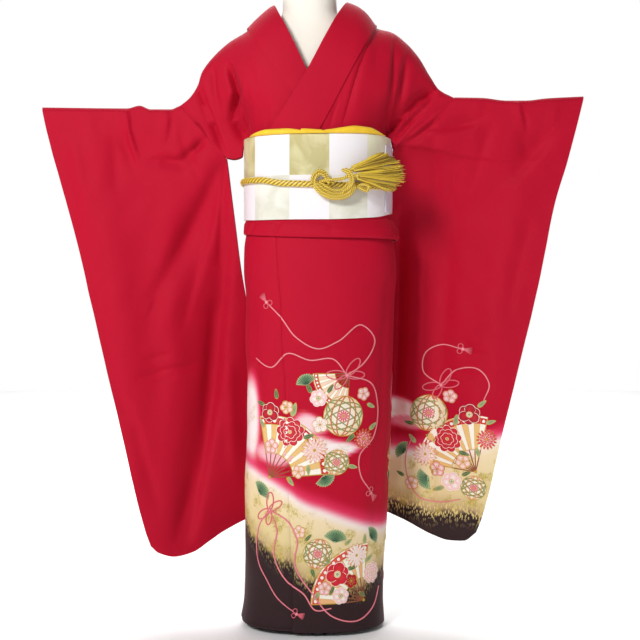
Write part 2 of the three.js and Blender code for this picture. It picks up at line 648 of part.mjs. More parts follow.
const border = (rows) => (at) => ({
  x: smooth(rows, "at", at, "x"),
  z: smooth(rows, "at", at, "z"),
  y: "y" in rows[0] ? smooth(rows, "at", at, "y") : 0,
});

// ---- Meshes ----

// Collects triangles and closes them into a mesh that faces out.
class Skin {
  constructor() {
    this.points = [];
  }

  quad(a, b, c, d) {
    this.points.push(a, b, c, a, c, d);
  }

  cap(ring) {
    const centre = ring.reduce((sum, p) => sum.add(p), new THREE.Vector3()).divideScalar(ring.length);
    ring.forEach((p, i) => this.points.push(p, ring[(i + 1) % ring.length], centre));
  }

  mesh(name, material) {
    const flat = new Float32Array(this.points.length * 3);
    this.points.forEach((p, i) => p.toArray(flat, i * 3));
    let volume = 0;
    for (let i = 0; i < this.points.length; i += 3) {
      const [a, b, c] = this.points.slice(i, i + 3);
      volume += a.dot(b.clone().cross(c));
    }
    if (volume < 0) {
      for (let i = 0; i < this.points.length; i += 3) {
        this.points[i + 1].toArray(flat, (i + 2) * 3);
        this.points[i + 2].toArray(flat, (i + 1) * 3);
      }
    }
    const geometry = new THREE.BufferGeometry();
    geometry.setAttribute("position", new THREE.BufferAttribute(flat, 3));
    const merged = mergeVertices(geometry, 1e-3);
    merged.computeVertexNormals();
    return named(name, merged, material);
  }
}

function named(name, geometry, material) {
  const mesh = new THREE.Mesh(geometry, material);
  mesh.name = name;
  return mesh;
}

// Unit normal of a point grid at row i, column j; wrap joins the last column to the first.
function gridNormal(grid, i, j, wrap) {
  const rows = grid.length;
  const columns = grid[0].length;
  const before = wrap ? (j + columns - 1) % columns : Math.max(j - 1, 0);
  const after = wrap ? (j + 1) % columns : Math.min(j + 1, columns - 1);
  const down = grid[Math.min(i + 1, rows - 1)][j].clone().sub(grid[Math.max(i - 1, 0)][j]);
  const across = grid[i][after].clone().sub(grid[i][before]);
  return down.cross(across).normalize();
}

// The grid moved along its normals by the given distance.
function offsetGrid(grid, distance, wrap = false) {
  return grid.map((row, i) =>
    row.map((p, j) => p.clone().addScaledVector(gridNormal(grid, i, j, wrap), distance(p, i))),
  );
}

// Closed wall between a grid and its offset, open or wrapped into a tube.
function wall(grid, thickness, wrap = false) {
  const inside = offsetGrid(grid, () => -thickness, wrap);
  const skin = new Skin();
  const rows = grid.length - 1;
  const columns = grid[0].length;
  const spans = wrap ? columns : columns - 1;
  for (let j = 0; j < spans; j += 1) {
    const k = (j + 1) % columns;
    for (let i = 0; i < rows; i += 1) {
      skin.quad(grid[i][j], grid[i + 1][j], grid[i + 1][k], grid[i][k]);
      skin.quad(inside[i][k], inside[i + 1][k], inside[i + 1][j], inside[i][j]);
    }
    skin.quad(grid[0][j], grid[0][k], inside[0][k], inside[0][j]);
    skin.quad(grid[rows][k], grid[rows][j], inside[rows][j], inside[rows][k]);
  }
  if (!wrap) {
    const last = columns - 1;
    for (let i = 0; i < rows; i += 1) {
      skin.quad(grid[i + 1][0], grid[i][0], inside[i][0], inside[i + 1][0]);
      skin.quad(grid[i][last], grid[i + 1][last], inside[i + 1][last], inside[i][last]);
    }
  }
  return skin;
}

// A sleeve bag: two layers joined along the crest, the foot and the cuff side below the cuff.
function bag(front, back, thickness, cuffRow) {
  const m = front.length - 1;
  const n = front[0].length - 1;
  const inset = (layer, offset) =>
    offset.map((row, i) =>
      row.map((p, j) => {
        const q = p.clone();
        if (i === 0) q.add(pull(layer[0][j], layer[2][j], thickness));
        if (i === m) q.add(pull(layer[m][j], layer[m - 1][j], thickness));
        if (j === n && i >= cuffRow) q.add(pull(layer[i][n], layer[i][n - 1], thickness));
        return q;
      }),
    );
  const shift = new THREE.Vector3(0, thickness, 0);
  const frontIn = inset(front, front.map((row) => row.map((p) => p.clone().add(shift))));
  const backIn = inset(back, back.map((row) => row.map((p) => p.clone().sub(shift))));
  const skin = new Skin();
  for (let i = 0; i < m; i += 1) {
    for (let j = 0; j < n; j += 1) {
      skin.quad(front[i][j], front[i + 1][j], front[i + 1][j + 1], front[i][j + 1]);
      skin.quad(frontIn[i][j + 1], frontIn[i + 1][j + 1], frontIn[i + 1][j], frontIn[i][j]);
      skin.quad(back[i][j + 1], back[i + 1][j + 1], back[i + 1][j], back[i][j]);
      skin.quad(backIn[i][j], backIn[i + 1][j], backIn[i + 1][j + 1], backIn[i][j + 1]);
    }
  }
  for (let j = 0; j < n; j += 1) {
    skin.quad(front[0][j], front[0][j + 1], back[0][j + 1], back[0][j]);
    skin.quad(backIn[0][j], backIn[0][j + 1], frontIn[0][j + 1], frontIn[0][j]);
    skin.quad(front[m][j + 1], front[m][j], back[m][j], back[m][j + 1]);
    skin.quad(frontIn[m][j], frontIn[m][j + 1], backIn[m][j + 1], backIn[m][j]);
  }
  for (let i = 0; i < m; i += 1) {
    skin.quad(front[i + 1][0], front[i][0], frontIn[i][0], frontIn[i + 1][0]);
    skin.quad(back[i][0], back[i + 1][0], backIn[i + 1][0], backIn[i][0]);
    if (i < cuffRow) {
      skin.quad(front[i][n], front[i + 1][n], frontIn[i + 1][n], frontIn[i][n]);
      skin.quad(back[i + 1][n], back[i][n], backIn[i][n], backIn[i + 1][n]);
    } else {
      skin.quad(front[i][n], front[i + 1][n], back[i + 1][n], back[i][n]);
      skin.quad(frontIn[i + 1][n], frontIn[i][n], backIn[i][n], backIn[i + 1][n]);
    }
  }
  skin.quad(front[0][0], back[0][0], backIn[0][0], frontIn[0][0]);
  skin.quad(back[0][n], front[0][n], frontIn[0][n], backIn[0][n]);
  skin.quad(back[m][0], front[m][0], frontIn[m][0], backIn[m][0]);
  skin.quad(front[cuffRow][n], back[cuffRow][n], backIn[cuffRow][n], frontIn[cuffRow][n]);
  return skin;
}

// A step of the given length from one point towards another.
const pull = (from, to, length) => to.clone().sub(from).setLength(length);

// ---- Kimono ----

// Point on a body section at an angle from the front.
function sectionPoint(centre, half, depth, z, degrees) {
  const angle = THREE.MathUtils.degToRad(degrees);
  const bend = (v) => Math.sign(v) * Math.abs(v) ** (2 / ROUNDNESS);
  return new THREE.Vector3(centre + half * bend(Math.sin(angle)), -depth * bend(Math.cos(angle)), z);
}

function upperPanel(name, panel, folds, lift, material) {
  const outward = panel.crest.outer > 0 ? -1 : 1;
  const half = (side, inner, foot) => {
    const crestAt = (at) => {
      const x = mix(panel.crest.inner, panel.crest.outer, at);
      return { x, z: crestHeight(x) };
    };
    const borders = {
      top: crestAt,
      foot: border(foot),
      inner: border(inner),
      outer: border(panel.armhole),
    };
    const facing = side === "front" ? -1 : 1;
    const point = (x, z) => {
      const crease = side === "front" ? creaseDepth(folds, x, z) : 0;
      return new THREE.Vector3(x, facing * (clothDepth(x, z, side) - crease), z);
    };
    const rows = PANEL_ROWS.map((v) =>
      PANEL_COLUMNS.map((u) => {
        const x = blend(borders, u, v, "x");
        if (v === 0) return new THREE.Vector3(x, 0, crestHeight(x));
        return point(x, blend(borders, u, v, "z"));
      }),
    );
    const last = rows[rows.length - 1];
    const hidden = last.map((p, j) =>
      PANEL_COLUMNS[j] > SASH_COLUMN ? p.clone().setZ(p.z - 1) : point(p.x, SEAM_UNDER),
    );
    return [...rows, hidden];
  };
  const front = half("front", panel.frontInner, panel.frontFoot);
  const back = half("back", panel.backInner, panel.backFoot);
  const grid = [...front.reverse(), ...back.slice(1)];
  const raised = offsetGrid(grid, (p) => (p.y < 0 ? outward * lift(p.x) : 0));
  return wall(raised, outward * SILK).mesh(name, material);
}

// The left panel rides over the right one and its collar where they cross on the chest.
const overlapLift = (x) => OVERLAP_LIFT * (1 - ease(OVERLAP_ENDS.from, OVERLAP_ENDS.to, x));

function collar(material) {
  const value = (at, name) => smooth(COLLAR, "at", at, name);
  const grid = COLLAR_STATIONS.map((at) =>
    COLLAR_ACROSS.map((w) => {
      const x = mix(value(at, "outX"), value(at, "inX"), w);
      const z = mix(value(at, "outZ"), value(at, "inZ"), w);
      if (at < COLLAR_SHOULDER.right || at > COLLAR_SHOULDER.left) {
        return new THREE.Vector3(x, -clothDepth(x, z, "front"), z);
      }
      const stand = clothDepth(value(at, "outX"), value(at, "outZ"), "back") + COLLAR_BACK_LIFT;
      return new THREE.Vector3(x, stand + value(at, "lean") * w, z);
    }),
  );
  const lift = (p, k) => {
    const at = COLLAR_STATIONS[k];
    const rise = (station) => ease(COLLAR_RISE.from, COLLAR_RISE.to, station);
    const neck = rise(at) * rise(COLLAR_RISE.end - at);
    const onTop = at > COLLAR_SHOULDER.left && p.y < 0;
    return -(COLLAR_LIFT + COLLAR_NECK_LIFT * neck + (onTop ? overlapLift(p.x) : 0));
  };
  return wall(offsetGrid(grid, lift), -COLLAR_WALL).mesh("collar", material);
}

function sleeve(name, shape, material) {
  const borders = {
    top: border(shape.crest),
    foot: border(shape.foot),
    inner: (at) => border(at < shape.opening[0].at ? shape.armhole : shape.opening)(at),
    outer: border(shape.cuffSide),
  };
  const layer = (side) =>
    SLEEVE_ROWS.map((v) =>
      SLEEVE_COLUMNS.map((u) => {
        const x = blend(borders, u, v, "x");
        const z = blend(borders, u, v, "z");
        const gap = (place) => smooth(SLEEVE_GAP, "at", v, place);
        const inward = mix(gap("body"), gap("middle"), ease(0, 0.3, u));
        const halfGap = mix(inward, gap("cuff"), ease(0.7, 1, u)) / 2;
        const calm = ease(0.02, 0.1, v) * ease(0, 0.06, 1 - v);
        const y = blend(borders, u, v, "y") + calm * creaseDepth(shape.folds, x, z);
        return new THREE.Vector3(x, y + side * halfGap, z);
      }),
    );
  return bag(layer(-1), layer(1), SILK, CUFF_ROW).mesh(name, material);
}

// How far inside the outer surface a skirt layer lies at an angle.
const SKIRT_LAYERS = {
  outer: () => 0,
  under: () => UNDER_INSET,
  crosses: (angle) => UNDER_INSET * ease(SIDE_SEAM.from, SIDE_SEAM.to, angle),
};

// Part of the skirt between two edges, each an angle that changes from top to foot.
function skirtPiece({ name, from, to, steps, layer, hem }, material) {
  const grid = [];
  for (const z of [...SKIRT_LEVELS, hem]) {
    const fall = THREE.MathUtils.clamp((SEAM_TOP - z) / SEAM_FALL, 0, 1);
    const low = smooth(SKIRT, "z", z, "low");
    const high = smooth(SKIRT, "z", z, "high");
    const row = [];
    const start = mix(from.top, from.foot, fall) + SEAM_TURN;
    const end = mix(to.top, to.foot, fall) - SEAM_TURN;
    for (let j = 0; j <= steps; j += 1) {
      const angle = mix(start, end, j / steps);
      const push = SKIRT_LAYERS[layer](angle) + skirtCrease(angle, z);
      const depth = smooth(SKIRT, "z", z, "depth") - push;
      row.push(sectionPoint((low + high) / 2, (high - low) / 2 - push, depth, z, angle));
    }
    grid.push(row);
  }
  return wall(grid, SILK).mesh(name, material);
}

function skirtCrease(angle, z) {
  let sum = 0;
  for (const f of SKIRT_FOLDS) {
    const along = (f.from - z) / (f.from - f.to);
    const centre = mix(f.top, f.foot, along);
    const turn = Math.abs(((angle - centre + 540) % 360) - 180);
    const fade = ease(0, 0.15, along) * ease(0, 0.1, 1.02 - along);
    sum += f.depth * fade * Math.exp(-((turn / f.width) ** 2));
  }
  return sum;
}

const waistEdge = (angle, name) => smooth(WAIST_EDGES, "angle", ((angle + 540) % 360) - 180, name);

// ---- Waist tuck and sash ----

function ring(steps, rows, place) {
  return rows.map((row) =>
    Array.from({ length: steps }, (_, j) => place(row, -180 + (360 * j) / steps)),
  );
}

function waistTuck(material) {
  const half = OBI_HALF_WIDTH - SASH_INSIDE;
  const depth = OBI_HALF_DEPTH - SASH_INSIDE;
  const grid = ring(RING_STEPS, TUCK_ROWS, (fall, angle) => {
    const leaves = waistEdge(angle, "sashLow") - CLEAR;
    const inside = mix(TUCK_TOP, leaves, fall / TUCK_EMERGES);
    const below = mix(leaves, waistEdge(angle, "tuck"), (fall - TUCK_EMERGES) / (1 - TUCK_EMERGES));
    const bulge = smooth(TUCK_PROFILE, "fall", fall, "bulge");
    const centre = smooth(TUCK_PROFILE, "fall", fall, "shift");
    const z = fall < TUCK_EMERGES ? inside : below;
    return sectionPoint(centre, half + bulge, depth + TUCK_DEEP * bulge, z, angle);
  });
  return wall(grid, TUCK_WALL, true).mesh("waist_tuck", material);
}

function obi(material) {
  const grid = ring(RING_STEPS, [0, 1], (fall, angle) => {
    const z = mix(waistEdge(angle, "sashTop"), waistEdge(angle, "sashLow"), fall);
    return sectionPoint(WAIST_SHIFT, OBI_HALF_WIDTH, OBI_HALF_DEPTH, z, angle);
  });
  return wall(grid, BROCADE, true).mesh("obi", material);
}

// The end of the second turn, over the sash at the wearer's left side.
function obiWrap(material) {
  const grid = [];
  for (const z of [WRAP_TOP, WRAP_LOW]) {
    const row = [];
    for (let j = 0; j <= WRAP_STEPS; j += 1) {
      const angle = mix(WRAP_FROM, WRAP_TO, j / WRAP_STEPS);
      const out = WRAP_GAP + WRAP_WALL;
      row.push(sectionPoint(WAIST_SHIFT, OBI_HALF_WIDTH + out, OBI_HALF_DEPTH + out, z, angle));
    }
    grid.push(row);
  }
  return wall(grid, WRAP_WALL).mesh("obi_wrap", material);
}

function obiDrum(material) {
  const grid = DRUM_PROFILE.map((p) =>
    DRUM_COLUMNS.map((u) => {
      const below = ease(DRUM_SAG_LEVELS.top, DRUM_SAG_LEVELS.low, p.z);
      const behind = ease(DRUM_SAG_DEPTHS.front, DRUM_SAG_DEPTHS.back, p.y);
      const sag = DRUM_SAG * (1 - u * u) * below * behind;
      return new THREE.Vector3(u * DRUM_HALF_WIDTH, p.y + sag, p.z);
    }),
  );
  return wall(grid, BROCADE).mesh("obi_drum", material);
}

function obiEnd(material) {
  const grid = [END_TOP, mix(END_TOP, END_LOW, 0.5), END_LOW].map((z) =>
    END_COLUMNS.map((u) => new THREE.Vector3(u * END_HALF_WIDTH, END_DEPTH - END_BEND * u * u, z)),
  );
  return wall(grid, BROCADE).mesh("obi_end", material);
}

// Closed skin through rings of points; both ends are capped unless the rings meet in a loop.
function loft(rings, loop = false) {
  const skin = new Skin();
  const sides = rings[0].length;
  const spans = loop ? rings.length : rings.length - 1;
  for (let i = 0; i < spans; i += 1) {
    const a = rings[i];
    const b = rings[(i + 1) % rings.length];
    for (let j = 0; j < sides; j += 1) {
      const k = (j + 1) % sides;
      skin.quad(a[j], b[j], b[k], a[k]);
    }
  }
  if (!loop) {
    skin.cap(rings[0]);
    skin.cap([...rings[rings.length - 1]].reverse());
  }
  return skin;
}

// Oval section round a point of the waist, thick along the body's radius and tall along Z.
function waistSection(half, depth, low, high, thick, angle, sides) {
  const centre = sectionPoint(WAIST_SHIFT, half, depth, (low + high) / 2, angle);
  const ahead = sectionPoint(WAIST_SHIFT, half, depth, centre.z, angle + 0.5);
  const out = ahead.sub(centre).cross(new THREE.Vector3(0, 0, 1)).normalize();
  return Array.from({ length: sides }, (_, k) => {
    const turn = (2 * Math.PI * (k + 0.5)) / sides;
    const q = centre.clone().addScaledVector(out, (thick / 2) * Math.cos(turn));
    return q.setZ(centre.z + ((high - low) / 2) * Math.sin(turn));
  });
}

function obiage(material) {
  const rings = [];
  for (let k = 0; k <= SCARF_STEPS; k += 1) {
    const angle = mix(-SCARF_REACH, SCARF_REACH, k / SCARF_STEPS);
    const thick = SCARF_THICK * (1 - SCARF_THINS * (Math.abs(angle) / SCARF_REACH) ** SCARF_TAPER);
    const depth = OBI_HALF_DEPTH - BROCADE + SCARF_THICK / 2;
    const low = waistEdge(angle, "sashTop") + SEAT;
    const high = smooth(SCARF_TOP, "angle", angle, "z");
    rings.push(waistSection(OBI_HALF_WIDTH + 1, depth, low, high, thick, angle, SCARF_SIDES));
  }
  return loft(rings).mesh("obiage", material);
}

function obijime(material) {
  const rings = [];
  for (let k = 0; k < CORD_STEPS; k += 1) {
    const angle = -180 + (360 * k) / CORD_STEPS;
    const climb = (edge, at) => ease(edge - CORD_CLIMB, edge - 1, at);
    const over = climb(WRAP_FROM, angle) * climb(-WRAP_TO, -angle);
    const out = CORD_GAP + CORD_THICK / 2 + over * (WRAP_GAP + WRAP_WALL);
    const z = smooth(CORD_HEIGHT, "angle", angle, "z");
    const half = OBI_HALF_WIDTH + out;
    const depth = OBI_HALF_DEPTH + out;
    rings.push(
      waistSection(half, depth, z - CORD_TALL / 2, z + CORD_TALL / 2, CORD_THICK, angle, CORD_SIDES),
    );
  }
  return loft(rings, true).mesh("obijime", material);
}

// ---- Joined solids ----

const wasm = await Module();
wasm.setup();

function toSolid(geometry) {
  const plain = new THREE.BufferGeometry();
  const source = geometry.index ? geometry.toNonIndexed() : geometry;
  plain.setAttribute("position", source.getAttribute("position"));
  const merged = mergeVertices(plain, 1e-3);
  return new wasm.Manifold(
    new wasm.Mesh({
      numProp: 3,
      vertProperties: merged.attributes.position.array,
      triVerts: new Uint32Array(merged.index.array),
    }),
  );
}

function fromSolid(name, solid, material) {
  const source = solid.getMesh();
  const geometry = new THREE.BufferGeometry();
  geometry.setAttribute("position", new THREE.BufferAttribute(source.vertProperties.slice(), 3));
  geometry.setIndex(Array.from(source.triVerts));
  geometry.computeVertexNormals();
  return named(name, geometry, material);
}

function tube(points, radius, sides, steps) {
  const section = new THREE.Shape();
  for (let k = 0; k < sides; k += 1) {
    const turn = (2 * Math.PI * k) / sides;
    if (k === 0) section.moveTo(radius, 0);
    else section.lineTo(radius * Math.cos(turn), radius * Math.sin(turn));
  }
  section.closePath();
  const extrudePath = new THREE.CatmullRomCurve3(points, false, "centripetal");
  return new THREE.ExtrudeGeometry(section, { steps, extrudePath, bevelEnabled: false });
}

function knot(material) {
  const strands = KNOT_STRANDS.map((strand) => {
    const last = strand.path.length - 1;
    const points = strand.path.map(([x, z], i) => {
      const arch = KNOT_ARCH * Math.sin((Math.PI * i) / last);
      return new THREE.Vector3(x, strand.y - arch, z);
    });
    return toSolid(tube(points, KNOT_CORD, KNOT_SIDES, 3 * last));
  });
  return fromSolid("obijime_knot", wasm.Manifold.union(strands), material);
}

// Strands that leave a flared head and spread towards a row of tips.
function tassel(name, place, tips, material) {
  const root = new THREE.Vector3(place.x, place.y, place.z);
  const tipAt = (at) =>
    new THREE.Vector3(smooth(tips, "at", at, "x"), smooth(tips, "at", at, "y"), smooth(tips, "at", at, "z"));
  const reach = tipAt(0.5).sub(root).normalize();
  const across = new THREE.Vector3(0, 1, 0).cross(reach).normalize();
  const deep = across.clone().cross(reach);
  const wide = (STRANDS_ACROSS * STRAND_PITCH) / 2 + 1;
  const thick = (STRANDS_DEEP * STRAND_PITCH) / 2 + 1;
  const section = (along, halfAcross, halfDeep) =>
    Array.from({ length: TASSEL_SIDES }, (_, k) => {
      const turn = (Math.PI * (2 * k + 1)) / TASSEL_SIDES;
      const flat = Math.cos(Math.PI / TASSEL_SIDES);
      const q = root.clone().addScaledVector(reach, along);
      q.addScaledVector(across, (halfAcross * Math.cos(turn)) / flat);
      return q.addScaledVector(deep, (halfDeep * Math.sin(turn)) / flat);
    });
  const head = loft([
    section(0, TASSEL_NECK, TASSEL_NECK),
    section(TASSEL_HEAD * TASSEL_NECK_LENGTH, TASSEL_NECK, TASSEL_NECK),
    section(TASSEL_HEAD, wide, thick),
  ]).mesh("head", material);
  const solids = [toSolid(head.geometry)];
  for (let i = 0; i < STRANDS_ACROSS; i += 1) {
    for (let j = 0; j < STRANDS_DEEP; j += 1) {
      const level = j - (STRANDS_DEEP - 1) / 2;
      const start = root.clone().addScaledVector(reach, TASSEL_HEAD - STRAND_ROOT);
      start.addScaledVector(across, (i - (STRANDS_ACROSS - 1) / 2) * STRAND_PITCH);
      start.addScaledVector(deep, level * STRAND_PITCH);
      const tip = tipAt((i + 0.3 * j) / (STRANDS_ACROSS - 0.4));
      tip.addScaledVector(deep, STRAND_SPREAD * level);
      const knee = start.clone().lerp(tip, KNEE.along).addScaledVector(reach, KNEE.reach);
      solids.push(toSolid(tube([start, knee, tip], STRAND_RADIUS, STRAND_SIDES, STRAND_STEPS)));
    }
  }
  return fromSolid(name, wasm.Manifold.union(solids), material);
}

// ---- Stand ----

function barSolid(radius, from, to) {
  const length = (to - from) * Math.hypot(1, BAR_TILT);
  const rod = new THREE.CylinderGeometry(radius, radius, length, 24);
  rod.rotateZ(-Math.PI / 2);
  rod.rotateY(-Math.atan(BAR_TILT));
  const middle = (from + to) / 2;
  rod.translate(middle, 0, BAR_HEIGHT + BAR_TILT * middle);
  return rod;
}

function dressForm(material) {
  const rings = FORM.map((row) =>
    Array.from({ length: FORM_SIDES }, (_, k) =>
      sectionPoint(row.shift, row.half, row.depth, row.z, (360 * k) / FORM_SIDES),
    ),
  );
  const body = toSolid(loft(rings).mesh("", material).geometry);
  const bore = toSolid(barSolid(BAR_RADIUS + BAR_BORE, BAR_RIGHT_END, BAR_LEFT_END));
  return fromSolid("dress_form", body.subtract(bore), material);
}

function pole(material) {
  const length = FORM_BOTTOM - HUB_HEIGHT - 2 * SEAT;
  const rod = new THREE.CylinderGeometry(POLE_RADIUS, POLE_RADIUS, length, 24);
  rod.rotateX(Math.PI / 2);
  rod.translate(0, 0, HUB_HEIGHT + SEAT + length / 2);
  return named("stand_pole", rod, material);
}

// Two crossed bars with round ends under a round hub.
function crossFoot(material) {
  const upright = (radius, height, x, y, sides) => {
    const round = new THREE.CylinderGeometry(radius, radius, height, sides);
    round.rotateX(Math.PI / 2);
    round.translate(x, y, height / 2);
    return toSolid(round);
  };
  const leg = (halfX, halfY) => {
    const bar = new THREE.BoxGeometry(2 * halfX, 2 * halfY, LEG_HEIGHT);
    bar.translate(0, 0, LEG_HEIGHT / 2);
    return toSolid(bar);
  };
  const pieces = [leg(LEG_HALF_X, LEG_HALF_WIDTH), leg(LEG_HALF_WIDTH, LEG_HALF_Y)];
  for (const side of [-1, 1]) {
    pieces.push(upright(LEG_HALF_WIDTH, LEG_HEIGHT, side * LEG_HALF_X, 0, 24));
    pieces.push(upright(LEG_HALF_WIDTH, LEG_HEIGHT, 0, side * LEG_HALF_Y, 24));
  }
  pieces.push(upright(HUB_RADIUS, HUB_HEIGHT, 0, 0, 32));
  return fromSolid("stand_base", wasm.Manifold.union(pieces), material);
}

// ---- Assembly ----

const paint = (color, roughness, metalness = 0) =>
  new THREE.MeshStandardMaterial({ color, roughness, metalness });
const crimson = paint(0xb81c30, 0.75);
const brocade = paint(0xefe9dc, 0.45);
const scarf = paint(0xe9b82a, 0.8);
const gold = paint(0xcfa52e, 0.6);
const cream = paint(0xf3eee0, 0.6);
const black = paint(0x1d1d20, 0.4, 0.6);

const kimono = new THREE.Group();
kimono.add(upperPanel("body_right_upper", RIGHT_PANEL, RIGHT_PANEL_FOLDS, () => 0, crimson));
kimono.add(upperPanel("body_left_upper", LEFT_PANEL, LEFT_PANEL_FOLDS, overlapLift, crimson));
kimono.add(collar(crimson));
kimono.add(sleeve("sleeve_right", RIGHT_SLEEVE, crimson));
kimono.add(sleeve("sleeve_left", LEFT_SLEEVE, crimson));
for (const piece of SKIRT_PIECES) {
  kimono.add(skirtPiece(piece, crimson));
}
kimono.add(waistTuck(crimson));
kimono.add(obi(brocade));
kimono.add(obiWrap(brocade));
kimono.add(obiDrum(brocade));
kimono.add(obiEnd(brocade));
kimono.add(obiage(scarf));
kimono.add(obijime(gold));
kimono.add(knot(gold));
kimono.add(tassel("tassel_upper", TASSEL_ROOTS.upper, TASSEL_UPPER, gold));
kimono.add(tassel("tassel_lower", TASSEL_ROOTS.lower, TASSEL_LOWER, gold));
kimono.add(dressForm(cream));
kimono.add(named("sleeve_bar", barSolid(BAR_RADIUS, BAR_RIGHT_END, BAR_LEFT_END), black));
kimono.add(pole(black));
kimono.add(crossFoot(black));

export default kimono;
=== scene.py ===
# Looks of the furisode kimono on its dress form stand. Tables are in millimetres, +Z up, front at -Y.

import math

import bpy
import numpy as np
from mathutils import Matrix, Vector
from mathutils.bvhtree import BVHTree


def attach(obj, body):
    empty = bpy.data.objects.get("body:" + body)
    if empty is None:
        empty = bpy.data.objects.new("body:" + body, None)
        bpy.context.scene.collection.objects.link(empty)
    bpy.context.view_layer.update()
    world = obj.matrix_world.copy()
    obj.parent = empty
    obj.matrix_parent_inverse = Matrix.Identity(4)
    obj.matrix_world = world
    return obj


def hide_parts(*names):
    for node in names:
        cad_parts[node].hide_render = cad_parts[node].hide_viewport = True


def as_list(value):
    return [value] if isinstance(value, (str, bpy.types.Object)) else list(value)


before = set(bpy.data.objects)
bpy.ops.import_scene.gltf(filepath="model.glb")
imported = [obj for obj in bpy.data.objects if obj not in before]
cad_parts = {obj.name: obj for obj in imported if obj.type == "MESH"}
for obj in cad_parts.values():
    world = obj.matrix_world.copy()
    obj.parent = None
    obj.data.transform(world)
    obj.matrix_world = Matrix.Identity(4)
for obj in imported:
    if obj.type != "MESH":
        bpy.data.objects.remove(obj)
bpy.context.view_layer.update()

# ---- Sizes shared with the solids ----

SILK = 2.0  # thickness of the kimono's cloth
BROCADE = 3.0  # thickness of the sash
CLEAR = 0.8  # space between the sash and what it lies on
SEAM_GAP = 0.3  # space between a sleeve and its body panel
ROUNDNESS = 2.3  # exponent of the rounded sections round the body
OBI_HALF_WIDTH = 161.0
OBI_HALF_DEPTH = 115.0
WAIST_SHIFT = -1.5  # x of the waist's centre
TUCK_WALL = 3.0  # space for the tuck between the sash and the skirt
TUCK_CLOTH = 2.4
LAYER = 2.6  # one thickness of cloth and its clearance
SASH_INSIDE = BROCADE + CLEAR
PANEL_HALF = OBI_HALF_WIDTH - SASH_INSIDE - 3 * LAYER
PANEL_FRONT = OBI_HALF_DEPTH - SASH_INSIDE - 3 * LAYER
PANEL_BACK = PANEL_FRONT + LAYER
PANEL_EDGE = 1069.0  # height where the body panels go under the sash
SEAM_UNDER = 1015.0  # height where they end, under the sash
ARM_HALF_GAP = 14.5  # half the space inside the panels beside the sleeve bar
BLOUSE_TOP = 1170.0
BLOUSE_LOW = 1075.0
SKIRT_HALF = OBI_HALF_WIDTH - SASH_INSIDE - TUCK_WALL - CLEAR
SKIRT_DEPTH = OBI_HALF_DEPTH - SASH_INSIDE - TUCK_WALL - CLEAR
SKIRT_TOP = 955.0
UNDER_INSET = 3.3  # how far the skirt's lower layer lies inside the upper one
COLLAR_WALL = 2.2
COLLAR_LIFT = LAYER + 0.1
COLLAR_NECK_LIFT = 1.9
COLLAR_BACK_LIFT = 4.5
BAR_RADIUS = 11.0
BAR_TILT = 0.0245
BAR_HEIGHT = 1125.6
SLEEVE_RELIEF = 1.4  # how much bolder the finer folds are than the tables
PANEL_RELIEF = 1.25


def table(names, *rows):
    """A table with named columns."""
    return dict(zip(names.split(), np.array(rows, float).T))


FOLD = "x1 z1 x2 z2 x3 z3 width depth lean"  # a three-point path and the shape of its trough
STREAK = "x z wide tall taper strength"  # a streak's centre, half sizes, how far it narrows, and strength

SHOULDER = table(
    "x z",
    (-304, 1138), (-282, 1156), (-264, 1184), (-254, 1213), (-227, 1248), (-194, 1277), (-154, 1301),
    (-128, 1325), (-95, 1352), (-18, 1385), (59, 1354), (96, 1337), (127, 1307), (160, 1298),
    (191, 1276), (220, 1244), (245, 1203), (266, 1174), (297, 1157),
)
DRAPE = table(
    "x front back drop",
    (0, 103.4, 96, 165), (60, 103, 95, 160), (110, 98, 92, 145), (150, 84, 82, 115), (180, 62, 62, 85),
    (210, 40, 40, 58), (250, 21, 21, 32), (280, 16, 16, 17), (304, ARM_HALF_GAP, ARM_HALF_GAP, 11),
)
RIGHT_FOOT = (
    (0.6, -142, PANEL_EDGE), (0.68, -146, PANEL_EDGE), (0.76, -163.5, 1050), (0.84, -166, 1030),
    (0.92, -185, 1023), (1, -201, 1026),
)
RIGHT_PANEL = {
    "crest": (-138, -304),
    "front_inner": table("at x z", (0, -138, 1316), (0.3, -88, 1223), (0.5, -43, 1164), (0.8, 6, 1090),
                         (1, 20, PANEL_EDGE)),
    "back_inner": table("at x z", (0, -138, 1316), (0.15, -100, 1285), (0.3, -60, 1268),
                        (0.42, -13.4, 1262), (1, -13.4, PANEL_EDGE)),
    "front_foot": table("at x z", (0, 20, PANEL_EDGE), (0.35, -70, PANEL_EDGE), *RIGHT_FOOT),
    "back_foot": table("at x z", (0, -13.4, PANEL_EDGE), (0.35, -80, PANEL_EDGE), *RIGHT_FOOT),
    "armhole": table("at x z", (0, -304, 1138), (1, -201, 1026)),
}
LEFT_FOOT = (
    (0.6, 139, PANEL_EDGE), (0.68, 143, PANEL_EDGE), (0.74, 160.5, 1062), (0.8, 163, 1048),
    (0.9, 168, 1048), (1, 174, 1057),
)
LEFT_PANEL = {
    "crest": (112, 297),
    "front_inner": table("at x z", (0, 112, 1322), (0.35, 57, 1204), (0.55, 27, 1146), (0.8, -7, 1088),
                         (1, -18, PANEL_EDGE)),
    "back_inner": table("at x z", (0, 112, 1322), (0.15, 72, 1285), (0.3, 34, 1268), (0.42, -12.6, 1262),
                        (1, -12.6, PANEL_EDGE)),
    "front_foot": table("at x z", (0, -18, PANEL_EDGE), (0.35, 64, PANEL_EDGE), *LEFT_FOOT),
    "back_foot": table("at x z", (0, -12.6, PANEL_EDGE), (0.35, 70, PANEL_EDGE), *LEFT_FOOT),
    "armhole": table("at x z", (0, 297, 1157), (1, 174, 1057)),
}
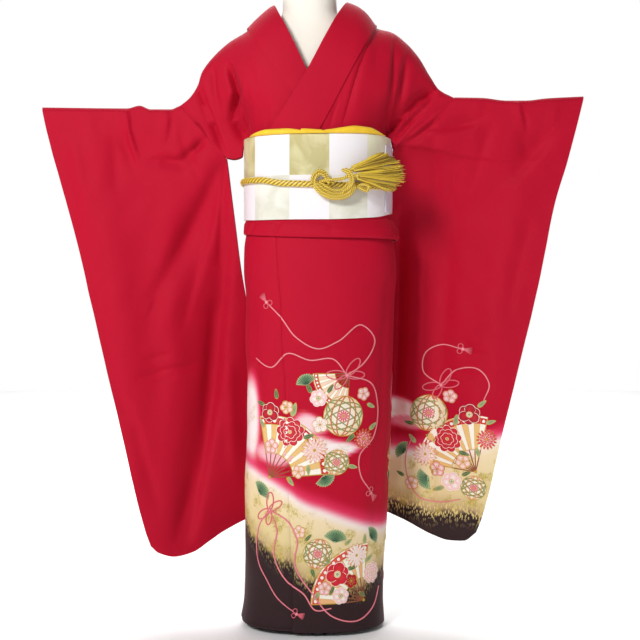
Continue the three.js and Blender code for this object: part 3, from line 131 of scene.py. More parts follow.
COLLAR = table(
    "at in_x in_z out_x out_z lean",
    (0, 60, 1018, 2, 1018, 0), (1, 18, 1108, -28, 1096, 0), (2, -24, 1199, -69, 1178, 0),
    (3, -58, 1272, -116, 1240, 0), (4, -80, 1318, -138, 1276, 0), (5, -95, 1351, -153, 1302, 0),
    (6, -99, 1350, -141, 1286, 2), (7, -92, 1340, -113, 1268, 4), (8, -62, 1324, -67, 1252, 8),
    (9, -18, 1314, -13, 1246, 14), (10, 26, 1324, 40, 1252, 8), (11, 58, 1340, 86, 1268, 4),
    (12, 66, 1350, 116, 1288, 2), (13, 62, 1353, 126, 1308, 0), (14, 40, 1318, 110, 1276, 0),
    (15, 16, 1272, 86, 1230, 0), (16, -23, 1198, 48, 1158, 0), (17, -59, 1140, 14, 1094, 0),
    (18, -97, 1079, -18, 1036, 0), (19, -122, 1040, -34, 1012, 0),
)
RIGHT_SLEEVE = {
    "crest": table("at x z y", (0, -304 - SEAM_GAP, 1138, 0), (0.06, -322, 1131, 0), (0.2, -366, 1131, 0),
                   (0.28, -390, 1139, 0), (0.38, -418, 1133, 0), (1, -603, 1135, 0)),
    "cuff_side": table("at x z y", (0, -603, 1135, 0), (0.05, -593, 1086, 1), (0.16, -566, 979, 3),
                       (0.33, -524, 815, 8), (0.53, -482, 622, 12), (0.75, -432, 408, 14),
                       (0.95, -385, 204, 15), (1, -372, 167, 16)),
    "foot": table("at x z y", (0, -105, 236, 128), (0.22, -163, 212, 104), (0.42, -218, 186, 78),
                  (0.53, -247, 168, 62), (0.67, -282, 147, 46), (0.8, -318, 140, 32),
                  (0.94, -355, 151, 19), (1, -372, 167, 16)),
    "armhole": table("at x z y", (0, -304 - SEAM_GAP, 1138, 0), (0.155, -201 - SEAM_GAP, 1026, 0)),
    "opening": table("at x z y", (0.155, -201 - SEAM_GAP, 1026, 0), (0.28, -186, 903, 16),
                     (0.4, -172, 782, 40), (0.48, -160, 703, 62), (0.6, -147, 600, 92),
                     (0.79, -126, 420, 118), (1, -105, 236, 128)),
    "folds": table(
        FOLD,
        (-203, 870, -242, 492, -300, 158, 24, 17, 0.3), (-206, 1016, -276, 880, -357, 723, 27, 16, -0.3),
        (-422, 1126, -420, 1061, -401, 1005, 11, 7, 0.5), (-320, 1118, -322, 1098, -326, 1066, 9, 5, 0.3),
        (-254, 1062, -300, 1018, -348, 1022, 15, 10, -0.4), (-500, 1060, -440, 700, -380, 300, 48, -10, 0),
        (-330, 900, -320, 560, -335, 240, 34, -9, 0), (-252, 1062, -262, 1050, -276, 1038, 6, 6, 0),
        (-385, 580, -358, 590, -330, 595, 7, 3, 0.3), (-399, 542, -335, 560, -271, 569, 8, 4, 0.3),
        (-361, 536, -338, 541, -315, 544, 6, 3, 0.3), (-300, 1092, -290, 1040, -262, 985, 9, 3, 0),
        (-226, 940, -262, 800, -300, 660, 13, 4, 0.4), (-452, 1105, -446, 1040, -440, 960, 14, 3, 0),
        (-540, 1085, -520, 980, -500, 870, 16, -4, 0), (-420, 480, -392, 380, -360, 260, 15, 4, 0.2),
        (-236, 700, -250, 560, -262, 420, 12, 5, -0.3), (-490, 700, -455, 560, -425, 440, 18, 3, 0.3),
        (-282, 330, -300, 250, -318, 180, 12, 4, 0), (-200, 560, -196, 420, -186, 300, 16, -5, 0),
        (-204, 1010, -214, 900, -222, 800, 9, 5, -0.4),
    ),
    "ridges": table(
        FOLD,
        (-417, 1140, -412, 1085, -396, 1030, 10, 7, 0.7), (-328, 1136, -327, 1104, -331, 1074, 8, 5, 0.65),
        (-286, 1122, -258, 1088, -232, 1052, 7, 4, 0.5), (-500, 1130, -496, 1090, -486, 1040, 14, 2, 0.2),
    ),
}
LEFT_SLEEVE = {
    "crest": table("at x z y", (0, 297 + SEAM_GAP, 1157, 0), (0.2, 356, 1156, 0), (0.42, 414, 1150, 0),
                   (0.55, 452, 1150, 0), (0.72, 501, 1155, 0), (1, 580, 1159, 0)),
    "cuff_side": table("at x z y", (0, 580, 1159, 0), (0.15, 547, 1022, 3), (0.25, 519, 921, 6),
                       (0.44, 484, 738, 10), (0.6, 447, 582, 12), (0.78, 405, 405, 14),
                       (0.95, 366, 238, 15), (1, 351, 198, 16)),
    "foot": table("at x z y", (0, 62, 264, 132), (0.36, 151, 229, 112), (0.52, 198, 211, 90),
                  (0.7, 259, 184, 56), (0.8, 292, 176, 38), (0.92, 325, 178, 22), (1, 351, 198, 16)),
    "armhole": table("at x z y", (0, 297 + SEAM_GAP, 1157, 0), (0.155, 174 + SEAM_GAP, 1057, 0)),
    "opening": table("at x z y", (0.155, 174 + SEAM_GAP, 1057, 0), (0.16, 166, 1052, 10),
                     (0.175, 165, 1034, 24), (0.2, 163.5, 1000, 42), (0.27, 160, 930, 80),
                     (0.35, 158, 850, 108), (0.42, 154, 780, 121), (0.62, 140, 600, 128),
                     (0.8, 112, 430, 132), (1, 62, 264, 132)),
    "folds": table(
        FOLD,
        (446, 1146, 450, 1128, 458, 1098, 8, 7, 0.5), (503, 1076, 468, 1031, 425, 985, 22, 10, 0.3),
        (391, 1140, 336, 1103, 264, 1088, 17, 9, 0.4), (184, 900, 186, 680, 176, 430, 18, 24, -0.2),
        (440, 980, 392, 700, 338, 330, 44, -10, 0), (300, 960, 282, 640, 262, 300, 30, 9, 0.2),
        (452, 1092, 450, 1060, 462, 1030, 16, 3, 0), (378, 1100, 360, 1040, 338, 960, 12, 3, 0),
        (250, 1068, 262, 1000, 268, 930, 12, 4, 0.3), (232, 860, 236, 700, 232, 560, 12, -4, 0),
        (470, 900, 440, 780, 420, 680, 16, 3, 0.3), (330, 620, 340, 600, 372, 592, 8, 3, 0.3),
        (300, 560, 330, 548, 362, 545, 8, 3, 0.3), (380, 560, 366, 460, 350, 380, 16, 3, 0),
        (262, 420, 258, 330, 262, 230, 12, 6, 0.3), (200, 380, 190, 320, 172, 270, 14, -4, 0),
        (186, 1054, 214, 1072, 262, 1108, 8, 6, 0.4),
    ),
    "ridges": table(
        FOLD,
        (436, 1152, 440, 1128, 449, 1096, 8, 5, 0.65), (284, 1146, 246, 1108, 206, 1072, 8, 4, 0.5),
        (352, 1150, 348, 1110, 340, 1066, 12, 2.5, 0.3), (520, 1150, 514, 1110, 504, 1066, 13, 2, 0.3),
    ),
}
SLEEVE_GAP = table(
    "at body middle cuff",
    (0, 12, 12, 12), (0.009, 29, 29, 29), (0.028, 29, 30, 30), (0.1, 29, 26, 25), (0.16, 29, 22, 20),
    (0.24, 25, 19, 10), (0.4, 18, 17, 8), (0.7, 14, 15, 8), (1, 9, 9, 8),
)
RIGHT_PANEL_FOLDS = table(
    FOLD,
    (-297, 1143, -268, 1104, -240, 1064, 7, 3, 0.4), (-262, 1178, -223, 1088, -202, 1032, 8, 6, 0.5),
    (-225, 1218, -221, 1172, -214, 1128, 7, 7, 0.5), (-186, 1214, -168, 1160, -178, 1130, 8, 26, 0.4),
    (-178, 1140, -178, 1108, -158, 1066, 10, 14, 0.3), (-172, 1160, -160, 1120, -148, 1078, 8, 8, 0.4),
    (-262, 1196, -240, 1140, -212, 1060, 5, 5, 0.6), (-108, 1127, -107, 1110, -106, 1070, 4, 2.4, 0.4),
    (-150, 1180, -146, 1130, -140, 1075, 8, 2, 0.3), (-170, 1262, -150, 1210, -120, 1130, 10, 1.6, 0),
)
LEFT_PANEL_FOLDS = table(
    FOLD,
    (162, 1266, 156, 1182, 148, 1083, 8, 9, -0.6), (253, 1168, 215, 1142, 158, 1084, 9, 18, 0.5),
    (262, 1168, 245, 1148, 233, 1132, 6, 5, 0.4), (116, 1286, 82, 1200, 51, 1090, 6, 4, -0.6),
    (187, 1229, 176, 1163, 160, 1092, 9, 12, -0.4), (228, 1128, 200, 1100, 170, 1066, 8, 9, 0.4),
    (42, 1128, 34, 1110, 26, 1080, 5, 2, 0.4),
)
SKIRT = table(
    "z low high depth",
    (10, -172, 146, 113), (60, -164, 143, 112), (112, -161, 143, 111), (225, -161, 151, 111),
    (311, -161, 155, 112), (450, -156, 160, 113), (540, -156, 162, 114), (626, -160, 164, 115),
    (703, -158, 167, 115), (776, -163, 171, 115), (825, -162, 167, 114), (856, -158, 160, 111),
    (876, WAIST_SHIFT - SKIRT_HALF, WAIST_SHIFT + SKIRT_HALF, SKIRT_DEPTH),
    (955, WAIST_SHIFT - SKIRT_HALF, WAIST_SHIFT + SKIRT_HALF, SKIRT_DEPTH),
)
SKIRT_FOLDS = table(
    "top foot start end width depth",
    (-60, -52, 760, 120, 7, 2.5), (62, 50, 800, 200, 8, 3), (150, 162, 780, 60, 7, 4),
    (-140, -152, 800, 40, 8, 5), (108, 112, 700, 60, 9, 4),
)
WAIST_EDGES = table(
    "angle tuck low top",
    (-180, 848, 892, 1064), (-90, 857, 888, 1062), (-40, 850, 884, 1062), (0, 846, 884, 1063),
    (45, 845, 890, 1065), (90, 844, 903, 1062), (180, 848, 892, 1064),
)
TUCK_PROFILE = table(
    "fall bulge shift",
    (0, 0, WAIST_SHIFT), (0.4, 0, WAIST_SHIFT), (0.55, 6, 1), (0.75, 11.5, 5), (0.92, 13, 6), (1, 11, 5),
)
FORM = table(
    "z half depth shift",
    (800, 140, 90, -1.5), (860, 145, 97, -1.5), (900, 146, 98, -1.5), (955, 146, 98, -1.5),
    (1015, 144, 97, -1.5), (1063, 138, 95, -2), (1120, 142, 92, -4), (1170, 154, 88, -7),
    (1215, 162, 82, -9), (1250, 165, 76, -11), (1275, 142, 69, -13), (1298, 108, 62, -15),
    (1318, 76, 58, -17), (1340, 60, 56, -18), (1396, 57, 54, -19), (1402, 52, 49, -19),
)

# ---- Interpolation ----


def hermite(a, b, slope_a, slope_b, span, t):
    """Cubic from a to b with a slope at each end."""
    rest = 1 - t
    return (
        a * (1 + 2 * t) * rest * rest
        + span * slope_a * t * rest * rest
        + b * t * t * (3 - 2 * t)
        - span * slope_b * t * t * rest
    )


def smooth(rows, key, at, value):
    """Monotone cubic through the rows' pairs, held level past both ends."""
    k, v = rows[key], rows[value]
    at = np.clip(np.asarray(at, float), k[0], k[-1])
    step = np.diff(k)
    slope = np.diff(v) / step
    tangent = np.empty_like(v)
    tangent[0], tangent[-1] = slope[0], slope[-1]
    product = slope[:-1] * slope[1:]
    total = np.where(product > 0, slope[:-1] + slope[1:], 1)
    tangent[1:-1] = np.where(product > 0, 2 * product / total, 0)
    i = np.clip(np.searchsorted(k, at, side="right") - 1, 0, len(k) - 2)
    return hermite(v[i], v[i + 1], tangent[i], tangent[i + 1], step[i], (at - k[i]) / step[i])


def mix(a, b, t):
    return a + (b - a) * t


def ease(low, high, v):
    t = np.clip((np.asarray(v, float) - low) / (high - low), 0, 1)
    return t * t * (3 - 2 * t)


def points(x, y, z):
    return np.stack(np.broadcast_arrays(x, y, z), -1).astype(float)


def unit(v):
    return v / np.linalg.norm(v, axis=-1, keepdims=True)


def run_along(path):
    """Distance along a path from its first point to each point."""
    return np.r_[0, np.cumsum(np.linalg.norm(np.diff(path, axis=0), axis=-1))]


def curve_through(knots, steps):
    """Smooth path through points, evenly spaced along it."""
    knots = np.asarray(knots, float)
    run = run_along(knots)
    slope = np.gradient(knots, run, axis=0)
    at = np.linspace(0, run[-1], steps)
    i = np.clip(np.searchsorted(run, at, side="right") - 1, 0, len(run) - 2)
    span = (run[i + 1] - run[i])[:, None]
    return hermite(knots[i], knots[i + 1], slope[i], slope[i + 1], span, (at - run[i])[:, None] / span)


SWELLS = ((170, 0.8), (96, 0.5), (58, 0.3))  # wave length and height of the cloth's slow swell
SWELL_SUM = 1.7  # brings the sum of the waves to about one millimetre


def waves(x, z, seed, size=1.0):
    """Slow uneven swell of the cloth, about one millimetre high."""
    rng = np.random.default_rng(seed)
    total = np.zeros(np.broadcast(x, z).shape)
    for length, height in SWELLS:
        for _ in range(3):
            turn, phase = rng.uniform(0, 2 * math.pi, 2)
            across = x * math.cos(turn) + z * math.sin(turn)
            total += height / SWELL_SUM * np.sin(across * 2 * math.pi / length + phase)
    return size * total


def crest_height(x):
    return smooth(SHOULDER, "x", x, "z")


def waist_depth(x, depth):
    share = np.minimum(np.abs(x - WAIST_SHIFT) / PANEL_HALF, 1)
    return np.maximum(depth * (1 - share**ROUNDNESS) ** (1 / ROUNDNESS), ARM_HALF_GAP)


def cloth_depth(x, z, side):
    away = np.abs(x)
    rise = np.clip((crest_height(x) - z) / smooth(DRAPE, "x", away, "drop"), 0, 1)
    draped = smooth(DRAPE, "x", away, side) * np.sqrt(1 - (1 - rise) ** 2)
    belted = waist_depth(x, PANEL_FRONT if side == "front" else PANEL_BACK)
    return mix(belted, draped, ease(BLOUSE_LOW, BLOUSE_TOP, z))


def to_segment(x, z, x1, z1, x2, z2):
    """For each point, its share along a straight piece, its distance from it and its side of it."""
    dx, dz = x2 - x1, z2 - z1
    t = np.clip(((x - x1) * dx + (z - z1) * dz) / (dx * dx + dz * dz), 0, 1)
    side = np.sign((x - x1) * dz - (z - z1) * dx)
    return t, np.hypot(x - x1 - t * dx, z - z1 - t * dz), side


def crease_depth(folds, x, z):
    """How far each point is pushed in by troughs round three-point paths; lean makes one side steeper."""
    total = np.zeros(np.broadcast(x, z).shape)
    for x1, z1, x2, z2, x3, z3, width, depth, lean in zip(*folds.values()):
        t1, away1, side1 = to_segment(x, z, x1, z1, x2, z2)
        t2, away2, side2 = to_segment(x, z, x2, z2, x3, z3)
        first = away1 < away2
        along = np.where(first, t1, 1 + t2) / 2
        fade = np.sqrt(np.maximum(np.sin(math.pi * mix(0.04, 0.96, along)), 0))
        wide = width * (1 + lean * np.where(first, side1, side2))
        total += depth * fade * np.exp(-((np.minimum(away1, away2) / wide) ** 2))
    return total


def blend(borders, u, v, axis):
    """Coons patch between four borders that meet at their ends."""
    top, foot, inner, outer = (borders[n] for n in ("top", "foot", "inner", "outer"))
    a, b, c, d = top(0)[axis], top(1)[axis], foot(0)[axis], foot(1)[axis]
    corners = mix(mix(a, b, u), mix(c, d, u), v)
    return mix(top(u)[axis], foot(u)[axis], v) + mix(inner(v)[axis], outer(v)[axis], u) - corners


def border(rows):
    return lambda at: {a: smooth(rows, "at", at, a) for a in ("x", "y", "z") if a in rows}


def section_point(centre, half, depth, z, degrees):
    angle = np.radians(degrees)
    bend = lambda v: np.sign(v) * np.abs(v) ** (2 / ROUNDNESS)
    return points(centre + half * bend(np.sin(angle)), -depth * bend(np.cos(angle)), z)


# ---- Meshes ----


def grid_normal(grid, wrap=False):
    across = np.roll(grid, -1, 1) - np.roll(grid, 1, 1) if wrap else np.gradient(grid, axis=1)
    n = np.cross(np.gradient(grid, axis=0), across)
    return n / np.maximum(np.linalg.norm(n, axis=-1, keepdims=True), 1e-9)


def offset(grid, distance, wrap=False):
    return grid + grid_normal(grid, wrap) * np.asarray(distance)[..., None]


def grid_faces(rows, columns, wrap=False, start=0, flip=False):
    i = np.arange(rows - 1)[:, None]
    j = np.arange(columns if wrap else columns - 1)[None]
    k = (j + 1) % columns
    corners = (i * columns + j, (i + 1) * columns + j, (i + 1) * columns + k, i * columns + k)
    quads = np.stack(np.broadcast_arrays(*corners), -1).reshape(-1, 4)
    return start + (quads[:, ::-1] if flip else quads)


def strip(a, b):
    """Quads between two index lists."""
    return np.stack([a[:-1], a[1:], b[1:], b[:-1]], -1)


def signed_volume(verts, faces):
    a, b, c, d = (verts[faces[:, k]] for k in range(4))
    return np.einsum("ij,ij->", a, np.cross(b, c)) + np.einsum("ij,ij->", a, np.cross(c, d))


def build(name, verts, faces, material, attributes=None, uv=None, sharp=50):
    """A mesh object in metres from millimetre points and quads (a repeated corner makes a triangle)."""
    verts = np.asarray(verts, float).reshape(-1, 3)
    faces = np.asarray(faces, int)
    if signed_volume(verts, faces) < 0:
        faces = faces[:, ::-1]
    polygons = [list(dict.fromkeys(f)) for f in faces.tolist()]
    mesh = bpy.data.meshes.new(name)
    mesh.from_pydata((verts / 1000).tolist(), [], polygons)
    mesh.validate()
    mesh.polygons.foreach_set("use_smooth", [True] * len(mesh.polygons))
    if sharp:
        mesh.set_sharp_from_angle(angle=math.radians(sharp))
    for key, values in (attributes or {}).items():
        values = np.asarray(values, np.float32)
        if values.ndim == 2:
            made = mesh.color_attributes.new(key, "FLOAT_COLOR", "POINT")
            made.data.foreach_set("color", np.c_[values, np.ones(len(values), np.float32)].ravel())
        else:
            made = mesh.attributes.new(key, "FLOAT", "POINT")
            made.data.foreach_set("value", values)
    if uv is not None:
        layer = mesh.uv_layers.new(name="cloth")
        corner = np.empty(len(mesh.loops), np.int32)
        mesh.loops.foreach_get("vertex_index", corner)
        layer.data.foreach_set("uv", (np.asarray(uv, float)[corner] / 1000).ravel())
    piece = bpy.data.objects.new(name, mesh)
    bpy.context.scene.collection.objects.link(piece)
    mesh.materials.append(material)
    return piece


def shell_faces(rows, columns, wrap=False):
    """Closed faces of a wall whose outer grid comes first and its inner grid second."""
    count = rows * columns
    faces = [grid_faces(rows, columns, wrap), grid_faces(rows, columns, wrap, count, True)]
    top = np.arange(columns)
    foot = top + (rows - 1) * columns
    if wrap:
        top, foot = np.r_[top, 0], np.r_[foot, (rows - 1) * columns]
    faces += [strip(top, top + count), strip(foot + count, foot)]
    if not wrap:
        left = np.arange(rows) * columns
        right = left + columns - 1
        faces += [strip(left + count, left), strip(right, right + count)]
    return np.concatenate(faces)


def shell(name, grid, thickness, material, wrap=False, uv=None, attributes=None):
    """Thin closed cloth: the grid and its copy moved along the normals by the thickness."""
    rows, columns = grid.shape[:2]
    inner = offset(grid, np.full(grid.shape[:2], -float(thickness)), wrap)
    both = lambda a: None if a is None else np.concatenate([a.reshape(rows * columns, -1)] * 2).squeeze()
    extra = {key: both(value) for key, value in (attributes or {}).items()}
    return build(
        name, np.concatenate([grid.reshape(-1, 3), inner.reshape(-1, 3)]),
        shell_faces(rows, columns, wrap), material, extra, both(uv),
    )


def finish_piece(piece, node_name, cloth=None, held="hung", rests_on=(), area=None, with_pieces=()):
    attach(piece, "root")
    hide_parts(node_name)
    if cloth:
        list(rests_on)
        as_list(with_pieces)


# ---- Colours ----


def linear(rgb):
    """Linear colour from 0..255 display values; works on arrays."""
    c = np.asarray(rgb, float) / 255
    return np.where(c <= 0.04045, c / 12.92, ((c + 0.055) / 1.055) ** 2.4)


CRIMSON = np.array([182, 6, 41.0])
ROSE = np.array([228, 60, 100.0])
MIST = np.array([246, 232, 230.0])
STRAW = np.array([238, 217, 176.0])
GOLDEN = np.array([216, 196, 134.0])
EARTH = np.array([50, 34, 36.0])
UMBER = np.array([150, 116, 78.0])
MOSS = np.array([200, 188, 84.0])
BRONZE = np.array([182, 146, 78.0])
GRAIN = np.array([226, 204, 132.0])

# Where the dyed zones meet round the skirt: red above "red", straw between, dark below "dark".
SKIRT_ZONES = table(
    "angle red dark",
    (-180, 300, 175), (-130, 345, 212), (-80, 362, 238), (-48, 345, 188), (-28, 324, 164), (-15, 303, 156),
    (-12, 296, 138), (1.4, 276, 120), (18.5, 256, 99), (41.6, 237, 108), (62, 229, 134), (120, 240, 150),
    (180, 300, 175),
)
# Streaks of pale mist in the red.
SKIRT_MIST = table(
    STREAK,
    (-152, 452, 30, 104, -0.3, 1), (-14, 450, 46, 24, 0.5, 0.8), (22, 398, 78, 31, 0.75, 1),
    (-84, 388, 70, 26, 0.2, 0.7),
)
SLEEVE_ZONES = table("x red dark", (60, 380, 244), (180, 376, 246), (245, 372, 240), (300, 372, 236),
                     (350, 390, 232), (420, 420, 228))
SLEEVE_MIST = table(
    STREAK,
    (178, 462, 74, 27, 0.3, 0.95), (206, 434, 50, 20, 0.2, 0.6), (330, 414, 74, 20, 0.4, 0.75),
)


def dye(x, z, zones, at, mist):
    """The dyed cloth's attributes; at is read against the first column of the zones.

    Each tone's share follows how far a point lies below the red's edge or the dark's edge, or its haze.
    """
    key = next(iter(zones))
    below = smooth(zones, key, at, "red") - z
    under = smooth(zones, key, at, "dark") - z + 5 * np.sin(x / 23.0) + 3 * np.sin(x / 9.0 + 1.7)
    haze = np.zeros(x.shape)
    for middle, level, wide, tall, taper, strength in zip(*mist.values()):
        across = (x - middle) / wide
        high = tall * np.clip(1 - taper * across, 0.25, 1.6)
        r = np.hypot(across, (z - level + 4 * np.sin(x / 17)) / high)
        haze = np.maximum(haze, strength * (1 - ease(0.5, 1.25, r)))
    colour = CRIMSON
    for tone, share in (
        (ROSE, 0.9 * ease(0, 0.5, haze)),
        (MIST, ease(0.25, 0.95, haze)),
        (ROSE, 0.85 * ease(-40, -4, below)),
        (MIST, ease(-12, 12, below)),
        (STRAW, ease(2, 34, below)),
        (GOLDEN, 0.6 * ease(20, 120, below)),
        (UMBER, 0.5 * ease(-46, 0, under) * ease(10, 50, below)),
        (EARTH, ease(-10, 8, under)),
    ):
        colour = mix(colour, tone, share[..., None])
    dust = ease(4, 40, below) * (1 - ease(-6, 10, under)) + 0.35 * haze
    rim = np.exp(-(((under + 4) / 20) ** 2)) * ease(10, 30, below)
    return {"dye": linear(colour), "dust": dust, "rim": rim}


def undyed(grid):
    """Attributes of plain crimson cloth."""
    none = np.zeros(grid.shape[:2])
    return {"dye": np.broadcast_to(linear(CRIMSON), grid.shape), "dust": none, "rim": none}


# ---- Materials ----


class Surface:
    """A material's node tree, with short ways to add nodes and to join them."""

    def __init__(self, name):
        self.made = bpy.data.materials.new(name)
        self.made.use_nodes = True
        self.tree = self.made.node_tree
        self.tree.nodes.clear()
        out = self.tree.nodes.new("ShaderNodeOutputMaterial")
        self.shader = self.tree.nodes.new("ShaderNodeBsdfPrincipled")
        self.tree.links.new(self.shader.outputs[0], out.inputs["Surface"])
        self.where = self.node("TexCoord").outputs["Object"]

    def node(self, kind, **values):
        made = self.tree.nodes.new("ShaderNode" + kind)
        for key, value in values.items():
            if key in made.inputs:
                made.inputs[key].default_value = value
            else:
                setattr(made, key, value)
        return made

    def give(self, socket, value):
        """Join another node's output to a socket, or set the socket to a number or a colour."""
        if isinstance(value, (int, float)):
            socket.default_value = value
        elif isinstance(value, (tuple, list, np.ndarray)):
            socket.default_value = (*[float(c) for c in value][:3], 1)
        else:
            self.tree.links.new(value, socket)

    def filled(self, node, *values):
        """The first output of a node whose first inputs take these values."""
        for socket, value in zip(node.inputs, values):
            self.give(socket, value)
        return node.outputs[0]

    def texture(self, kind, vector=None, **values):
        made = self.node("Tex" + kind, **values)
        self.give(made.inputs["Vector"], self.where if vector is None else vector)
        return made.outputs[0]

    def paint(self, name, output="Fac"):
        return self.node("Attribute", attribute_name=name).outputs[output]

    def maths(self, operation, *values):
        return self.filled(self.node("Math", operation=operation), *values)

    def times(self, a, b):
        return self.maths("MULTIPLY", a, b)

    def remap(self, value, start, end, low=0.0, high=1.0):
        return self.filled(self.node("MapRange"), value, start, end, low, high)

    def colours(self, factor, a, b, blend="MIX"):
        made = self.node("Mix", data_type="RGBA", blend_type=blend)
        for index, value in ((0, factor), (6, a), (7, b)):
            self.give(made.inputs[index], value)
        return made.outputs[2]

    def bump(self, height, strength, distance):
        made = self.node("Bump", Strength=strength, Distance=distance)
        self.give(made.inputs["Height"], height)
        self.give(self.shader.inputs["Normal"], made.outputs[0])

    def finish(self, colour, roughness, specular=0.5, **others):
        settings = {"Base Color": colour, "Roughness": roughness, "Specular IOR Level": specular}
        settings.update({key.replace("_", " "): value for key, value in others.items()})
        for key, value in settings.items():
            self.give(self.shader.inputs[key], value)
        return self.made


def crepe():
    """Silk crepe: colour from the dye, with gold dust, grains at the dark edge and a fine pebbled bump."""
    s = Surface("silk_crepe")
    dust, rim = s.paint("dust"), s.paint("rim")
    spots = s.texture("Noise", Scale=260.0, Detail=3.0, Roughness=0.7)
    cloud = s.texture("Noise", Scale=30.0, Detail=3.0)
    bloom = s.remap(cloud, 0.5, 0.66, 0.0, 0.6)
    toned = s.colours(s.times(bloom, dust), s.paint("dye", "Color"), linear(MOSS))
    patches = s.maths("GREATER_THAN", s.times(spots, cloud), 0.315)
    toned = s.colours(s.times(patches, s.times(dust, 0.6)), toned, linear(BRONZE))
    stretched = s.node("Mapping", Scale=(1.0, 1.0, 0.4))
    s.give(stretched.inputs["Vector"], s.where)
    seed = s.maths("LESS_THAN", s.texture("Voronoi", stretched.outputs[0], Scale=260.0), 0.42)
    toned = s.colours(s.times(seed, s.times(rim, 0.95)), toned, linear(GRAIN))
    shade = s.remap(s.texture("Noise", Scale=7.0, Detail=3.0), 0.0, 1.0, 0.93, 1.07)
    pebble = s.texture("Noise", Scale=1500.0, Detail=2.0)
    rows = s.texture("Wave", Scale=260.0, Distortion=3.0, Detail=2.0, bands_direction="Z")
    s.bump(s.maths("ADD", pebble, s.times(rows, 0.4)), 0.35, 0.0004)
    return s.finish(
        s.colours(1.0, toned, shade, "MULTIPLY"), 0.68, 0.14,
        Sheen_Weight=0.08, Sheen_Roughness=0.45, Sheen_Tint=(1.0, 0.35, 0.45),
    )


CHECK = 84.0  # width of one check along the sash
CHECK_START = -59.0  # one check's left edge, along the sash from the front
CHECK_LEVEL = 977.0  # height where the rows of checks meet


def brocade():
    """Satin brocade: a check of white and gold above, white and cream below, with a ribbed weave and painted
    sheen in patches on the gold and cream.
    """
    s = Surface("brocade")
    place = s.node("UVMap", uv_map="cloth").outputs[0]
    split = s.node("SeparateXYZ")
    s.give(split.inputs[0], place)
    along, up = split.outputs[0], split.outputs[1]
    column = s.maths("DIVIDE", s.maths("SUBTRACT", along, CHECK_START / 1000), CHECK / 1000)
    column = s.maths("FLOOR", column)
    upper = s.maths("GREATER_THAN", up, CHECK_LEVEL / 1000)
    parity = s.maths("MODULO", s.maths("ABSOLUTE", s.maths("ADD", column, upper)), 2.0)
    filled = s.maths("GREATER_THAN", parity, 0.5)
    weave = s.texture("Wave", place, Scale=420.0, Distortion=0.6, Detail=1.0)
    ribs = s.texture("Wave", place, Scale=300.0, Distortion=0.2, bands_direction="Y")
    # Painted sheen: slow noise lightens the gold and the cream in patches, as a satin highlight would.
    painted_sheen = s.remap(s.texture("Noise", place, Scale=16.0, Detail=3.0, Distortion=0.8), 0.42, 0.68)
    gold = s.colours(painted_sheen, linear([186, 174, 112]), linear([222, 216, 168]))
    gold = s.colours(s.times(weave, 0.3), gold, linear([232, 222, 176]))
    pale = s.maths("COMPARE", s.maths("MODULO", s.maths("ADD", column, 120), 6.0), 2.0)
    gold = s.colours(s.times(pale, 0.72), gold, linear([246, 246, 222]))
    cream = s.colours(s.times(painted_sheen, 0.8), linear([222, 220, 204]), linear([246, 244, 236]))
    white = s.colours(s.times(ribs, 0.22), linear([245, 240, 243]), linear([226, 220, 226]))
    final = s.colours(filled, white, s.colours(upper, cream, gold))
    s.bump(s.maths("ADD", weave, s.times(filled, 0.8)), 0.3, 0.0005)
    return s.finish(final, s.remap(filled, 0.0, 1.0, 0.5, 0.34), Sheen_Weight=0.15)


def plain(name, low, high, scale, roughness, bump_size=0.0003, bump_scale=900.0, sheen=0.0):
    """A surface whose colour drifts between two tones, with a fine bump."""
    s = Surface(name)
    drift = s.texture("Noise", Scale=scale, Detail=3.0)
    s.bump(s.texture("Noise", Scale=bump_scale, Detail=2.0), 0.4, bump_size)
    return s.finish(s.colours(drift, linear(low), linear(high)), roughness, Sheen_Weight=sheen)


def painted():
    """Colour from the mesh's own paint, for dyed and embroidered motifs; gold thread shines."""
    s = Surface("yuzen_paint")
    thread = s.texture("Noise", Scale=800.0, Detail=2.0)
    tone = s.remap(thread, 0.0, 1.0, 0.82, 1.1)
    s.bump(thread, 0.3, 0.0002)
    colour = s.colours(1.0, s.paint("dye", "Color"), tone, "MULTIPLY")
    return s.finish(colour, 0.5, 0.3, Metallic=s.times(s.paint("gold"), 0.55))


def twisted():
    """Twisted silk: painted shade in the grooves between strands and a painted highlight on their crests."""
    s = Surface("cord_silk")
    fibre = s.texture("Noise", Scale=420.0, Detail=2.0)
    # The crest attribute darkens the grooves as painted shade and lightens the crests as a painted highlight.
    lift = s.remap(s.paint("crest"), 0.2, 0.85)
    body = s.colours(fibre, linear([216, 172, 20]), linear([255, 230, 84]))
    s.bump(fibre, 0.4, 0.0002)
    return s.finish(s.colours(lift, linear([104, 62, 6]), body), 0.36, 0.6, Sheen_Weight=0.1)


silk = crepe()
satin = brocade()
paint = painted()
scarf_silk = plain("scarf_silk", [234, 182, 14], [252, 214, 44], 60.0, 0.6, 0.0006, 700.0, sheen=0.2)
cord_silk = twisted()
# White satin greyed to a lavender grey as painted shade, for the sash's second turn.
painted_shade_satin = plain("painted_shade_satin", [206, 200, 212], [224, 218, 230], 30.0, 0.6, 0.0004, 800.0)
form_cover = plain("form_cover", [244, 238, 222], [250, 246, 236], 14.0, 0.75, 0.0003, 1100.0)
black_paint = plain("black_paint", [26, 26, 28], [38, 38, 40], 20.0, 0.38, 0.0001, 500.0)

# ---- Kimono ----


def crest_line(ends):
    """The panel's upper edge, along the shoulder's crest."""

    def place(at):
        x = mix(*[float(end) for end in ends], np.asarray(at, float))
        return {"x": x, "z": crest_height(x)}

    return place


